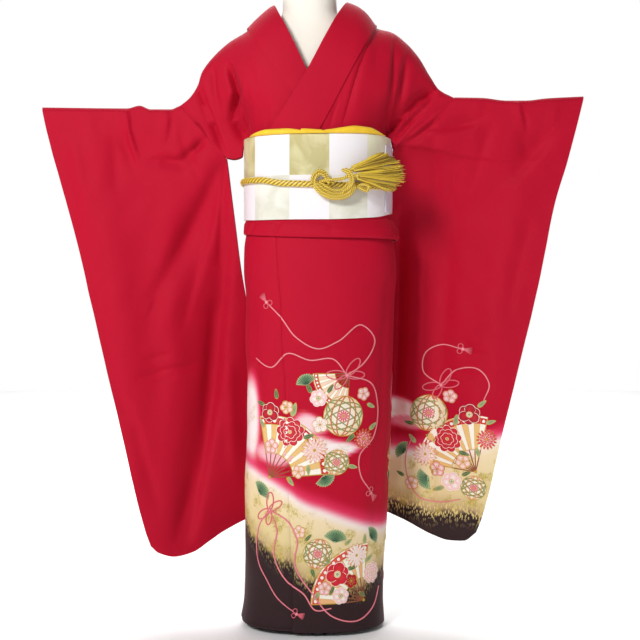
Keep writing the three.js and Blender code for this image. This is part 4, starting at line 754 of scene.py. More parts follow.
def panel(name, shape, folds, lift):
    """One upper body panel, from under the sash in front over the shoulder to under it behind."""
    outward = -1 if shape["crest"][1] > 0 else 1
    u = np.linspace(0, 1, 90)[None]
    v = np.r_[np.linspace(0, 0.03, 6), np.linspace(0.04, 0.16, 12), np.linspace(0.17, 1, 70)][:, None]

    def half(side):
        facing = -1 if side == "front" else 1
        borders = {"top": crest_line(shape["crest"]), "outer": border(shape["armhole"])}
        borders.update({edge: border(shape[side + "_" + edge]) for edge in ("foot", "inner")})
        x = blend(borders, u, v, "x")
        z = np.where(v == 0, crest_height(x), blend(borders, u, v, "z"))
        crease = ease(0, 0.12, v) * (0.6 * waves(x, z, len(name) + (side == "back")))
        if side == "front":
            crease = crease + PANEL_RELIEF * crease_depth(folds, x, z)
        depth = cloth_depth(x, z, side) - crease
        by_bar = 1 - ease(14, 26, np.abs(z - BAR_HEIGHT - BAR_TILT * x))
        depth = np.where(v == 0, 0, mix(depth, np.maximum(depth, ARM_HALF_GAP), by_bar * (v > 0.1)))
        rows = points(x, facing * depth, z)
        last = rows[-1:]
        tucked = points(last[..., 0], facing * cloth_depth(last[..., 0], SEAM_UNDER, side), SEAM_UNDER)
        target = np.where(u[..., None] > 0.6, last - [0, 0, 1], tucked)
        return np.concatenate([rows, mix(last, target, np.linspace(0, 1, 8)[1:, None, None])])

    grid = np.concatenate([half("front")[::-1], half("back")[1:]])
    raised = offset(grid, np.where(grid[..., 1] < 0, outward * lift(grid[..., 0]), 0))
    return shell(name, raised, outward * SILK, silk, uv=grid[..., [0, 2]], attributes=undyed(grid))


def overlap_lift(x):
    return (2 * LAYER + 0.15) * (1 - ease(78, 124, x))


def collar():
    # Extra stations where the band turns from the front to the back of the neck.
    at = np.unique(np.r_[np.linspace(0, 19, 150), 4.65, 4.82, 4.93, 5, 13, 13.08, 13.2, 13.38])
    w = np.linspace(0, 1, 15)[None]
    value = lambda name: smooth(COLLAR, "at", at, name)[:, None]
    x = mix(value("out_x"), value("in_x"), w)
    z = mix(value("out_z"), value("in_z"), w)
    stand = cloth_depth(value("out_x"), value("out_z"), "back") + COLLAR_BACK_LIFT
    on_front = ((at < 5) | (at > 13))[:, None]
    y = np.where(on_front, -cloth_depth(x, z, "front"), stand + value("lean") * w)
    grid = points(x, y, z)
    neck = (ease(2.2, 4, at) * ease(2.2, 4, 18 - at))[:, None]
    on_top = (at > 13)[:, None] & (grid[..., 1] < 0)
    puff = 1.1 * np.sin(math.pi * w) ** 0.6
    lift = COLLAR_LIFT + COLLAR_NECK_LIFT * neck + np.where(on_top, overlap_lift(x), 0) + puff
    grid = offset(grid, -lift)
    return shell("collar_cloth", grid, -COLLAR_WALL, silk, uv=grid[..., [0, 2]], attributes=undyed(grid))


CUFF_END = 0.24  # share of a sleeve's height where its open cuff ends


def sleeve(name, shape, zones=None, mist=None):
    """A sleeve bag with front, back and inner walls, open at the cuff's upper part and at the body side."""
    u = np.r_[np.linspace(0, 0.05, 5), np.linspace(0.06, 0.96, 74), np.linspace(0.97, 1, 3)][None]
    v = np.r_[0, 0.002, 0.005, 0.009, 0.014, 0.02, 0.028, np.linspace(0.034, CUFF_END, 62),
              np.linspace(0.245, 0.985, 134), 0.992, 1]
    cuff = int(np.argmin(np.abs(v - CUFF_END)))
    v = v[:, None]
    start = shape["opening"]["at"][0]

    def inner(at):
        a, b = border(shape["armhole"])(at), border(shape["opening"])(at)
        return {k: np.where(np.asarray(at) < start, a[k], b[k]) for k in "xyz"}

    borders = {
        "top": border(shape["crest"]), "foot": border(shape["foot"]),
        "inner": inner, "outer": border(shape["cuff_side"]),
    }
    x, z = blend(borders, u, v, "x"), blend(borders, u, v, "z")
    gap = lambda place: smooth(SLEEVE_GAP, "at", v, place)
    inward = mix(gap("body"), gap("middle"), ease(0, 0.3, u))
    half_gap = mix(inward, gap("cuff"), ease(0.7, 1, u)) / 2
    calm = ease(0.02, 0.1, v) * ease(0, 0.06, 1 - v)
    crease = SLEEVE_RELIEF * crease_depth(shape["folds"], x, z)
    y = blend(borders, u, v, "y") + calm * (crease + waves(x, z, len(name), 1.3))
    half_gap = half_gap + ease(0, 0.02, v) * crease_depth(shape["ridges"], x, z)
    front, back = points(x, y - half_gap, z), points(x, y + half_gap, z)
    rows, columns = x.shape

    def inset(layer, side):
        q = layer.copy()
        q[..., 1] += side * SILK
        q[0] += SILK * unit(layer[4] - layer[0])
        q[-1] += SILK * unit(layer[-2] - layer[-1])
        q[cuff:, -1] += SILK * unit(layer[cuff:, -3] - layer[cuff:, -1])
        return q

    verts = np.concatenate([a.reshape(-1, 3) for a in (front, back, inset(front, 1), inset(back, -1))])
    n = rows * columns
    index = np.arange(n).reshape(rows, columns)
    f, b, fi, bi = index, index + n, index + 2 * n, index + 3 * n
    faces = [
        grid_faces(rows, columns), grid_faces(rows, columns, start=n, flip=True),
        grid_faces(rows, columns, start=2 * n, flip=True), grid_faces(rows, columns, start=3 * n),
        strip(b[0], f[0]), strip(fi[0], bi[0]), strip(f[-1], b[-1]), strip(bi[-1], fi[-1]),
        strip(fi[:, 0], f[:, 0]), strip(b[:, 0], bi[:, 0]),
        strip(f[: cuff + 1, -1], fi[: cuff + 1, -1]), strip(bi[: cuff + 1, -1], b[: cuff + 1, -1]),
        strip(f[cuff:, -1], b[cuff:, -1]), strip(bi[cuff:, -1], fi[cuff:, -1]),
        [[f[0, 0], fi[0, 0], bi[0, 0], b[0, 0]], [b[0, -1], bi[0, -1], fi[0, -1], f[0, -1]],
         [b[-1, 0], bi[-1, 0], fi[-1, 0], f[-1, 0]], [f[cuff, -1], fi[cuff, -1], bi[cuff, -1], b[cuff, -1]]],
    ]
    cloth = undyed(front) if zones is None else dye(x, z, zones, x, mist)
    four = lambda a: np.concatenate([a.reshape(n, -1)] * 4).squeeze()
    attributes = {key: four(value) for key, value in cloth.items()}
    return build(name, verts, np.concatenate(faces), silk, attributes, four(points(x, z, 0)[..., :2]))


def turn_between(angle, centre):
    """Signed degrees from a centre to an angle, the short way round."""
    return (angle - centre + 540) % 360 - 180


def skirt_crease(angle, z):
    total = np.zeros(np.broadcast(angle, z).shape)
    for top, foot, start, end, width, depth in zip(*SKIRT_FOLDS.values()):
        along = (start - z) / (start - end)
        turn = turn_between(angle, mix(top, foot, along))
        fade = ease(0, 0.15, along) * ease(0, 0.1, 1.02 - along)
        total += depth * fade * np.exp(-((turn / width) ** 2))
    return total


LEFT_EDGE = (-99, -88)  # angles, at the sash and at the hem, of the overlap's free edge,
LEFT_SEAM = (-31, -13)  # of the seam of the left overlap,
RIGHT_SEAM = (-4, 8)  # of the hidden seam of the right overlap
RIGHT_EDGE = (74, 66)  # and of that overlap's free edge
FAR_FROM_MIST = 400  # stands for x on the back, where no streak lies
SEAM_DIP = 1.6
SEAM_WIDTH = 0.8  # degrees


def down_skirt(z):
    return (840 - z) / 830


def skirt_surface(angle, z, inset):
    low, high = smooth(SKIRT, "z", z, "low"), smooth(SKIRT, "z", z, "high")
    swell = 0.5 * waves(angle * 2.6, z, 5) * ease(880, 820, z)
    seam = mix(*LEFT_SEAM, np.clip(down_skirt(z), 0, 1))
    dip = SEAM_DIP * np.exp(-(((angle - seam) / SEAM_WIDTH) ** 2))
    push = inset + skirt_crease(angle, z) + np.maximum(swell, -0.6) + dip
    depth = smooth(SKIRT, "z", z, "depth") - push
    return section_point((low + high) / 2, (high - low) / 2 - push, depth, z, angle)


def skirt(name, start, end, hem, columns, inset=lambda a: 0 * a):
    """One skirt panel between two slanting edges, each given by its angles at the sash and at the hem."""
    z = np.r_[np.linspace(SKIRT_TOP, 842, 20), np.linspace(836, hem + 8, 120), hem + 3, hem][:, None]
    fall = np.clip(down_skirt(z), 0, 1)
    turn = np.linspace(0, 1, columns)[None]
    angle = mix(mix(*start, fall) + 0.07, mix(*end, fall) - 0.07, turn)
    grid = skirt_surface(angle, z, inset(angle))
    x = np.where(np.abs(angle) < 100, grid[..., 0], FAR_FROM_MIST)
    cloth = dye(x, z + 0 * x, SKIRT_ZONES, angle, SKIRT_MIST)
    cloth["rim"] *= 0.5
    return shell(name, grid, SILK, silk, uv=points(angle * 2.7, z, 0)[..., :2], attributes=cloth)


def waist_edge(angle, name):
    return smooth(WAIST_EDGES, "angle", turn_between(angle, 0), name)


# Angle, slant and depth of the tuck's creases.
TUCK_CREASES = (
    (-52, -9, 3.4), (-22, -12, 3.4), (-80, 6, 2.6), (8, -3, 1.2), (66, 5, 1.8), (118, -4, 1.8), (160, 4, 1.5),
    (-130, 5, 2),
)


def waist_tuck():
    fall = np.r_[np.linspace(0, 0.4, 6), np.linspace(0.42, 1, 30)][:, None]
    angle = np.linspace(-180, 180, 360, endpoint=False)[None]
    below_sash = waist_edge(angle, "low") - CLEAR
    foot = waist_edge(angle, "tuck")
    z = np.where(fall < 0.4, mix(930, below_sash, fall / 0.4), mix(below_sash, foot, (fall - 0.4) / 0.6))
    bulge = smooth(TUCK_PROFILE, "fall", fall, "bulge")
    swell = 0.7 * np.sin(np.radians(angle * 5 + 40)) + 0.5 * np.sin(np.radians(angle * 9))
    soft = ease(0.45, 0.8, fall) * swell
    for at, slant, deep in TUCK_CREASES:
        away = turn_between(angle, at + slant * fall)
        fade = ease(0.4, 0.6, fall) * (1 - 0.6 * ease(0.8, 1, fall))
        soft = soft - deep * fade * np.exp(-((away / 2.2) ** 2))
    grid = section_point(
        smooth(TUCK_PROFILE, "fall", fall, "shift"), OBI_HALF_WIDTH - SASH_INSIDE + bulge + soft,
        OBI_HALF_DEPTH - SASH_INSIDE + 0.7 * bulge + soft, z, angle,
    )
    return shell("waist_tuck_cloth", grid, TUCK_CLOTH, silk, True, attributes=undyed(grid))


# ---- Dyed and embroidered motifs ----

WHITE = (250, 246, 238)
CREAM = (240, 226, 184)
RED = (206, 26, 44)
DEEP_RED = (160, 14, 34)
PINK = (240, 150, 160)
SALMON = (238, 168, 138)
GREEN = (96, 140, 96)
PINE = (34, 78, 58)
SAGE = (176, 190, 140)
GOLD = (206, 168, 66)
CORD_PINK = (220, 104, 118)
CORD_LIGHT = (240, 168, 174)
SCARLET = (228, 60, 70)
CARMINE = (190, 20, 40)
CORAL = (238, 160, 150)
BUFF = (236, 214, 170)
BLUSH = (244, 190, 190)
SHELL_PINK = (244, 206, 196)
MELON = (240, 110, 110)
AMBER = (236, 192, 122)
IVORY = (240, 226, 196)
PALE_STRAW = (238, 224, 190)
BRICK = (226, 120, 110)
BRIGHT_RED = (222, 44, 56)
FAN_RIB = (150, 84, 50)
FAN_FOLD = (252, 246, 232)
STITCH_LIFT = 0.25  # how far the lowest motifs lie over the cloth
STITCH_DEPTH = 0.6  # how far a motif reaches into the cloth
STITCH_STEP = 0.12  # how far each layer of a motif lies over the one below
OUTLINE_STEP = 8  # longest step along a blob's outline
BAND_STEP = 6  # longest step along a band
RING_STEP = 14  # widest ring of a blob


def finer(path, step):
    """The path with points added, so that none lie further apart than a step."""
    count = np.maximum(1, np.ceil(np.linalg.norm(np.diff(path, axis=0), axis=-1) / step)).astype(int)
    parts = [mix(path[k], path[k + 1], np.arange(n)[:, None] / n) for k, n in enumerate(count)]
    return np.concatenate([*parts, path[-1:]])


class Motifs:
    """Flat shapes on a cloth's surface, each a thin closed patch; those in GOLD shine like thread."""

    def __init__(self):
        self.shapes = []

    def add(self, flat, faces, rim, tone, level, colour):
        self.shapes.append((flat, faces, rim, tone, STITCH_LIFT + STITCH_STEP * level, float(colour == GOLD)))

    def blob(self, outline, inside, edge, level):
        """A star-shaped outline filled from its centre's colour to its edge's."""
        outline = np.asarray(outline, float)
        outline = finer(np.r_[outline, outline[:1]], OUTLINE_STEP)[:-1]
        start, end = np.array([inside], float), np.array([edge], float)
        centre = outline.mean(0)
        count = len(outline)
        rings = max(1, round(np.abs(outline - centre).max() / RING_STEP))
        share = np.arange(1, rings + 1)[:, None, None] / rings
        flat = np.r_[centre[None], mix(centre, outline, share).reshape(-1, 2)]
        tone = np.r_[start, np.repeat(mix(start, end, share[:, 0] ** 1.5), count, 0)]
        k = np.arange(count)
        after = np.roll(k, -1)
        faces = np.r_[np.stack([0 * k, 1 + k, 1 + after, 1 + after], -1), grid_faces(rings, count, True, 1)]
        rim = 1 + (rings - 1) * count + k
        self.add(flat, faces, np.r_[rim, rim[:1]], tone, level, inside)

    def dot(self, centre, radius, count, inside, edge, level):
        self.blob(round_points(centre, radius, count), inside, edge, level)

    def band(self, path, width, colour, level, ends=0.5):
        """A line of even width along a path, narrowing to its ends' share."""
        path = finer(np.asarray(path, float), BAND_STEP)
        ahead = np.gradient(path, axis=0)
        ahead /= np.maximum(np.linalg.norm(ahead, axis=-1, keepdims=True), 1e-9)
        side = np.stack([-ahead[:, 1], ahead[:, 0]], -1)
        share = np.linspace(0, 1, len(path))
        taper = mix(ends, 1, np.minimum(1, np.minimum(share, 1 - share) * 8))[:, None]
        flat = np.concatenate([path + side * width / 2 * taper, path - side * width / 2 * taper])
        n = len(path)
        k = np.arange(n - 1)
        faces = np.stack([k, k + n, k + n + 1, k + 1], -1)
        rim = np.r_[np.arange(n), np.arange(2 * n - 1, n - 1, -1), 0][::-1]
        tone = np.broadcast_to(np.array([colour], float), (2 * n, 3))
        self.add(flat, faces, rim, tone, level, colour)

    def build(self, name, place):
        """The piece with its shapes laid on a surface; shapes that reach past its edge are left out."""
        verts, faces, tones, golds, start = [], [], [], [], 0
        for flat, top, rim, tone, lift, gold in self.shapes:
            spot, normal = place(flat[:, 0], flat[:, 1])
            if spot is None:
                continue
            n = len(flat)
            wall = strip(rim, rim + n)
            verts += [spot + normal * lift, spot - normal * STITCH_DEPTH]
            faces += [top + start, top[:, ::-1] + n + start, wall + start]
            tones += [tone, tone]
            golds.append(np.full(2 * n, gold))
            start += 2 * n
        attributes = {"dye": linear(np.concatenate(tones)), "gold": np.concatenate(golds)}
        return build(name, np.concatenate(verts), np.concatenate(faces), paint, attributes, sharp=30)


def turned(centre, x, z, turn):
    c, s = math.cos(turn), math.sin(turn)
    return np.stack([centre[0] + x * c - z * s, centre[1] + x * s + z * c], -1)


def round_points(centre, radius, count, squash=1.0, turn=0.0):
    a = np.linspace(0, 2 * math.pi, count, endpoint=False)
    return turned(centre, radius * np.cos(a), radius * squash * np.sin(a), turn)


def towards(centre, radius, turn):
    return np.array([centre[0] + radius * math.cos(turn), centre[1] + radius * math.sin(turn)])


def ray(centre, near, far, turn):
    return [towards(centre, near, turn), towards(centre, far, turn)]


def arc(centre, radius, start, end, count):
    a = np.linspace(start, end, count)
    return np.stack([centre[0] + radius * np.cos(a), centre[1] + radius * np.sin(a)], -1)


def spokes(count, turn=0.0):
    return [turn + k * 2 * math.pi / count for k in range(count)]


def petal(motifs, centre, radius, reach, wide, turn, inside, edge, outline, level):
    """One petal that points along turn, over its outline."""
    middle = towards(centre, reach, turn)
    rim = round_points(middle, radius + 0.8, 12, wide, turn)
    motifs.blob(rim, outline, outline, level)
    motifs.blob(round_points(middle, radius - 0.2, 12, wide, turn), inside, edge, level + 1)


def plum(motifs, centre, r, inside, edge, turn, level=5):
    for angle in spokes(5, turn):
        petal(motifs, centre, r * 0.46, r * 0.55, 1, angle, inside, edge, GOLD, level)
    for angle in spokes(10, turn):
        motifs.band(ray(centre, r * 0.1, r * 0.5, angle), 0.7, GOLD, level + 2)
        motifs.dot(towards(centre, r * 0.5, angle), 0.9, 6, GOLD, GOLD, level + 3)
    motifs.dot(centre, r * 0.14, 8, GOLD, GOLD, level + 3)


def rosette(motifs, centre, r, inside, edge, turn, level, rings, twist, wide):
    """Rings of petals, each given by its count, reach and size, the outer ring first."""
    for ring, (count, reach, size, outline) in enumerate(rings):
        for angle in spokes(count, turn + ring * twist):
            petal(motifs, centre, r * size, r * reach, wide, angle, inside, edge, outline, level + 2 * ring)


def chrysanthemum(motifs, centre, r, inside, edge, turn, level=5):
    rings = ((16, 0.7, 0.3, GOLD), (12, 0.44, 0.25, WHITE), (8, 0.2, 0.18, WHITE))
    rosette(motifs, centre, r, inside, edge, turn, level, rings, 0.2, 0.34)
    motifs.dot(centre, r * 0.12, 10, GOLD, GOLD, level + 7)


def camellia(motifs, centre, r, inside, edge, turn, level=5):
    for k, angle in enumerate(spokes(6, turn)):
        petal(motifs, centre, r * 0.5, r * 0.5, 0.95, angle, inside, edge, WHITE, level + k % 2)
    motifs.dot(centre, r * 0.3, 12, WHITE, CREAM, level + 4)
    for angle in spokes(12):
        motifs.dot(towards(centre, r * 0.22, angle), 1.1, 6, GOLD, GOLD, level + 5)
    motifs.dot(centre, r * 0.12, 8, SAGE, GREEN, level + 5)


def peony(motifs, centre, r, inside, edge, turn, level=5):
    rings = ((9, 0.66, 0.34, WHITE), (8, 0.42, 0.3, WHITE), (6, 0.2, 0.24, WHITE))
    rosette(motifs, centre, r, inside, edge, turn, level, rings, 0.35, 0.85)
    motifs.dot(centre, r * 0.13, 8, GOLD, CREAM, level + 7)


def leaf(motifs, root, length, turn, inside, edge, level=3):
    a = np.linspace(0, 2 * math.pi, 14, endpoint=False)
    wide = length * 0.2 * np.sin(a) * (1 - 0.35 * np.cos(a))
    shape = turned(towards(root, length / 2, turn), length / 2 * np.cos(a), wide, turn)
    motifs.blob(mix(shape.mean(0), shape, 1.12), GOLD, GOLD, level)
    motifs.blob(shape, inside, edge, level + 1)
    motifs.band([root, towards(root, length * 0.86, turn)], 0.7, GOLD, level + 2)


def pine(motifs, root, r, turn, level=3):
    spread = np.linspace(-1.25, 1.25, 22)
    rim = [towards(root, r * (1 - 0.06 * (k % 2)), turn + a) for k, a in enumerate(spread)]
    motifs.blob([towards(root, -0.05 * r, turn), *rim], GREEN, SAGE, level)
    for a in np.linspace(-1.1, 1.1, 13):
        motifs.band(ray(root, r * 0.1, r * 0.95, turn + a), 1.1, PINE, level + 1)


def fan(motifs, pivot, r, turn, spread, face, trim, level=0):
    """An open folding fan: ribs, a folded face with a trim along its rim, and gold edges."""
    inner = r * 0.4
    steps = 14
    edges = np.linspace(turn - spread / 2, turn + spread / 2, steps + 1)

    def sector(low, high, k):
        there, back = arc(pivot, low, edges[k], edges[k + 1], 3), arc(pivot, high, edges[k + 1], edges[k], 3)
        return np.concatenate([there, back])

    for edge in edges[::2]:
        motifs.band(ray(pivot, 2, inner + 3, edge), 2.4, FAN_RIB, level)
    for k in range(steps):
        tone = face if k % 2 else FAN_FOLD
        motifs.blob(sector(inner, r, k), tone, tone, level + 1)
        motifs.blob(sector(r * 0.86, r * 0.97, k), trim, trim, level + 2)
        middle = towards(pivot, r * 0.915, (edges[k] + edges[k + 1]) / 2)
        motifs.dot(middle, r * 0.03, 8, WHITE, WHITE, level + 3)
    for radius in (inner, r * 0.855, r):
        motifs.band(arc(pivot, radius, edges[0], edges[-1], 26), 1.4, GOLD, level + 3)
    for k, edge in enumerate(edges):
        line = [towards(pivot, radius, edge) for radius in (inner, (inner + r) / 2, r)]
        motifs.band(line, 2.0 if k in (0, steps) else 0.6, GOLD, level + 3)
    motifs.dot(pivot, 3.2, 10, GOLD, GOLD, level + 4)


def ball(motifs, centre, r, ground, band_colour, level=3):
    """A thread ball: pale ground, crossing bands and a star of threads."""
    motifs.dot(centre, r + 1.4, 28, GOLD, GOLD, level)
    motifs.dot(centre, r, 28, WHITE, ground, level + 1)
    turn = np.linspace(0.05, math.pi - 0.05, 22)
    for k in range(3):
        lean = 0.35 + k * math.pi / 3
        axis, side = towards((0, 0), r, lean), towards((0, 0), r, lean + math.pi / 2)
        for bend in (-0.62, -0.3, 0.3, 0.62):
            curve = np.array(centre) + np.cos(turn)[:, None] * axis + bend * np.sin(turn)[:, None] * side
            motifs.band(curve, 2.6, band_colour if k % 2 else GREEN, level + 2)
            motifs.band(curve, 0.8, GOLD, level + 3)
    for angle in spokes(12):
        ray = round_points(towards(centre, r * 0.2, angle), r * 0.15, 8, 0.3, angle)
        motifs.blob(ray, RED, PINK, level + 4)
    motifs.dot(centre, r * 0.07, 8, GOLD, GOLD, level + 5)


def cord(motifs, knots, width=3.0, level=9):
    path = curve_through(knots, 10 * len(knots))
    motifs.band(path, width, CORD_PINK, level, ends=0.8)
    motifs.band(path, width * 0.3, CORD_LIGHT, level + 1, ends=0.8)


def cord_tassel(motifs, root, turn, size=16, level=10):
    motifs.dot(root, size * 0.2, 10, CORD_LIGHT, CORD_PINK, level + 1)
    for a in np.linspace(-0.4, 0.4, 7):
        motifs.band(ray(root, size * 0.15, size, turn + a), 1.2, CORD_PINK, level)
    for side in (-1, 1):
        loop = round_points(towards(root, size * 0.42, turn + math.pi + side * 0.8), size * 0.26, 14)
        motifs.band(np.r_[loop, loop[:1]], 1.4, CORD_PINK, level, ends=1)


def bow(motifs, centre, size, turn, level=9):
    """Four loops round a knot."""
    for a, reach in ((0.5, 1), (-0.4, 0.9), (2.7, 1), (3.6, 0.85)):
        middle = towards(centre, size * reach * 0.5, turn + a)
        loop = round_points(middle, size * reach * 0.5, 22, 0.42, turn + a)
        motifs.band(np.r_[loop, loop[:1]], 2.4, CORD_PINK, level, ends=1)
    motifs.dot(centre, size * 0.1, 10, CORD_LIGHT, CORD_PINK, level + 2)


FULL_TURN = np.linspace(-180, 180, 2881)


def run_round(half, depth):
    """Arc length from the front to each step of a full turn round a section."""
    run = run_along(section_point(0, half, depth, 0, FULL_TURN))
    return run - run[len(run) // 2]


SKIRT_RUN = run_round(160.0, 112.0)
SKIRT_EDGE = -198.0  # arc length where the overlap's free edge lies
FLATTEST = 0.25  # least share of a cloth's normal along Y where a motif may lie
DEEPEST = 70  # longest reach of one motif along Y


def skirt_spot(s, z):
    """Point and normal of the outer skirt at an arc length from the front and a height."""
    if z.min() < 14 or z.max() > 840 or s.min() < SKIRT_EDGE:
        return None, None
    at = lambda s, z: skirt_surface(np.interp(s, SKIRT_RUN, FULL_TURN), z, 0.0)
    point = at(s, z)
    normal = unit(np.cross(at(s + 0.5, z) - at(s - 0.5, z), at(s, z + 0.5) - at(s, z - 0.5)))
    inward = np.einsum("ij,ij->i", normal, point * [1, 1, 0]) < 0
    normal[inward] *= -1
    return point, normal


def cloth_spot(tree, facing):
    """Point and normal on a mesh seen along Y, from the front (-1) or the back (1)."""

    def place(x, z):
        spots, normals = [], []
        for a, b in zip(x, z):
            hit, normal, _, _ = tree.ray_cast(Vector((a / 1000, facing, b / 1000)), Vector((0, -facing, 0)))
            if hit is None or abs(normal.y) < FLATTEST:
                return None, None
            spots.append(np.array(hit) * 1000)
            normals.append(np.array(normal) * (1 if normal.y * facing > 0 else -1))
        if np.ptp([spot[1] for spot in spots]) > DEEPEST:
            return None, None
        return np.array(spots), np.array(normals)

    return place


def leaves(motifs, *rows):
    for k, (x, z, length, turn) in enumerate(rows):
        leaf(motifs, (x, z), length, turn, *((PINE, GREEN) if k % 2 else (GREEN, SAGE)))


def skirt_front():
    m = Motifs()
    fan(m, (-104, 338), 132, 0.95, 1.75, AMBER, RED)
    fan(m, (64, 560), 78, 3.9, 1.5, (248, 212, 190), RED)
    peony(m, (-62, 436), 31, SCARLET, CARMINE, 0.2)
    chrysanthemum(m, (-8, 398), 28, WHITE, CORAL, 0.1)
    plum(m, (-104, 404), 16, WHITE, PINK, 0.2)
    plum(m, (-40, 352), 14, WHITE, SALMON, 0.9)
    camellia(m, (-108, 476), 21, RED, DEEP_RED, 0.4, 6)
    plum(m, (-70, 488), 14, WHITE, SALMON, 0.7, 6)
    ball(m, (52, 470), 42, BUFF, RED)
    chrysanthemum(m, (98, 420), 21, MELON, RED, 0.5, 6)
    plum(m, (2, 452), 17, WHITE, (250, 220, 214), 0.5)
    plum(m, (96, 516), 14, WHITE, PINK, 1.1)
    camellia(m, (-2, 508), 18, WHITE, BLUSH, 0.2)
    ball(m, (40, 372), 26, IVORY, SALMON)
    pine(m, (-132, 300), 28, 0.9)
    pine(m, (14, 344), 24, -1.1)
    pine(m, (-26, 536), 24, 1.9)
    leaves(m, (-58, 470, 28, 1.3), (-32, 424, 22, 0.3), (-124, 444, 22, 2.2), (20, 386, 24, 0.4),
           (-20, 366, 20, -1.5), (76, 430, 22, -2.4), (112, 440, 22, 0.6), (-18, 520, 22, 2.0),
           (106, 494, 20, -0.4), (-124, 492, 20, 2.9), (-64, 340, 22, -0.9), (18, 520, 20, 1.0),
           (66, 364, 20, -0.2), (-92, 506, 20, 1.7))
    bow(m, (58, 556), 44, 0.4)
    cord(m, [(58, 556), (96, 582), (122, 630), (88, 662), (40, 628), (0, 612), (-48, 636), (-84, 680),
         (-112, 706)])
    cord_tassel(m, (-116, 710), 2.2, 20)
    cord(m, [(58, 556), (30, 590), (-20, 588), (-66, 602), (-104, 572), (-146, 590)])
    cord(m, [(58, 556), (116, 536), (136, 482), (124, 424), (90, 384), (96, 340), (122, 306)])
    cord_tassel(m, (124, 302), -0.8, 20)
    # lower group
    fan(m, (116, 74), 122, 2.35, 1.65, (240, 184, 130), (222, 70, 66))
    camellia(m, (52, 134), 26, BRIGHT_RED, RED, 0.3)
    chrysanthemum(m, (94, 172), 26, WHITE, SHELL_PINK, 0.0)
    plum(m, (24, 104), 15, WHITE, PINK, 0.2)
    plum(m, (84, 118), 15, RED, DEEP_RED, 0.8)
    ball(m, (6, 178), 31, PALE_STRAW, BRICK)
    peony(m, (138, 130), 23, (250, 240, 232), (240, 170, 160), 0.1, 6)
    pine(m, (42, 202), 28, 1.4)
    pine(m, (126, 206), 24, 0.6)
    plum(m, (-36, 224), 14, WHITE, SALMON, 0.5)
    camellia(m, (60, 88), 18, WHITE, BLUSH, 0.2, 6)
    leaves(m, (34, 158, 22, 2.4), (76, 144, 22, 0.2), (118, 156, 22, 0.6), (44, 108, 20, -2.0),
           (12, 96, 20, -2.2), (-22, 206, 18, 0.8), (112, 196, 20, 1.6), (-6, 146, 20, -1.2),
           (66, 196, 18, 0.7), (104, 92, 18, -0.6))
    bow(m, (-104, 268), 38, 1.0)
    cord(m, [(-104, 268), (-86, 226), (-92, 176), (-60, 118), (-22, 92), (6, 58), (40, 62)])
    cord(m, [(-104, 268), (-62, 246), (-40, 208), (-44, 158), (-2, 92), (44, 44), (100, 32), (144, 56),
         (166, 96)])
    cord(m, [(-104, 268), (-134, 228), (-140, 170), (-110, 120), (-84, 84), (-40, 52)], 2.4)
    cord_tassel(m, (-36, 50), -0.3, 18)
    return m


def skirt_back():
    """Like groups round the side and back, in a guessed layout."""
    m = Motifs()
    fan(m, (262, 330), 96, 1.9, 1.5, (238, 214, 160), RED)
    peony(m, (226, 392), 22, SCARLET, CARMINE, 0.2)
    chrysanthemum(m, (286, 408), 20, WHITE, CORAL, 0.1)
    ball(m, (340, 360), 30, BUFF, RED)
    plum(m, (312, 318), 12, WHITE, PINK, 0.4)
    plum(m, (200, 352), 12, WHITE, SALMON, 0.9)
    camellia(m, (372, 316), 16, RED, DEEP_RED, 0.4, 6)
    pine(m, (200, 320), 24, 1.0)
    camellia(m, (238, 168), 20, BRIGHT_RED, RED, 0.3)
    chrysanthemum(m, (286, 190), 19, WHITE, SHELL_PINK, 0.0)
    plum(m, (262, 138), 12, WHITE, PINK, 0.2)
    pine(m, (322, 196), 24, 1.8)
    ball(m, (372, 206), 24, PALE_STRAW, BRICK)
    leaves(m, (214, 186, 22, 2.4), (262, 176, 22, 0.2), (304, 168, 22, -0.9), (240, 416, 22, 1.4),
           (304, 384, 20, -0.6), (388, 334, 20, 0.6), (206, 376, 20, 2.6), (336, 300, 20, -1.0))
    bow(m, (300, 442), 34, 0.2)
    cord(m, [(300, 442), (262, 480), (220, 470), (190, 500), (206, 548), (252, 560)])
    cord_tassel(m, (256, 562), 0.3)
    cord(m, [(300, 442), (344, 470), (380, 440), (392, 390), (376, 340)])
    cord(m, [(200, 120), (250, 84), (310, 98), (370, 70), (420, 96)])
    return m


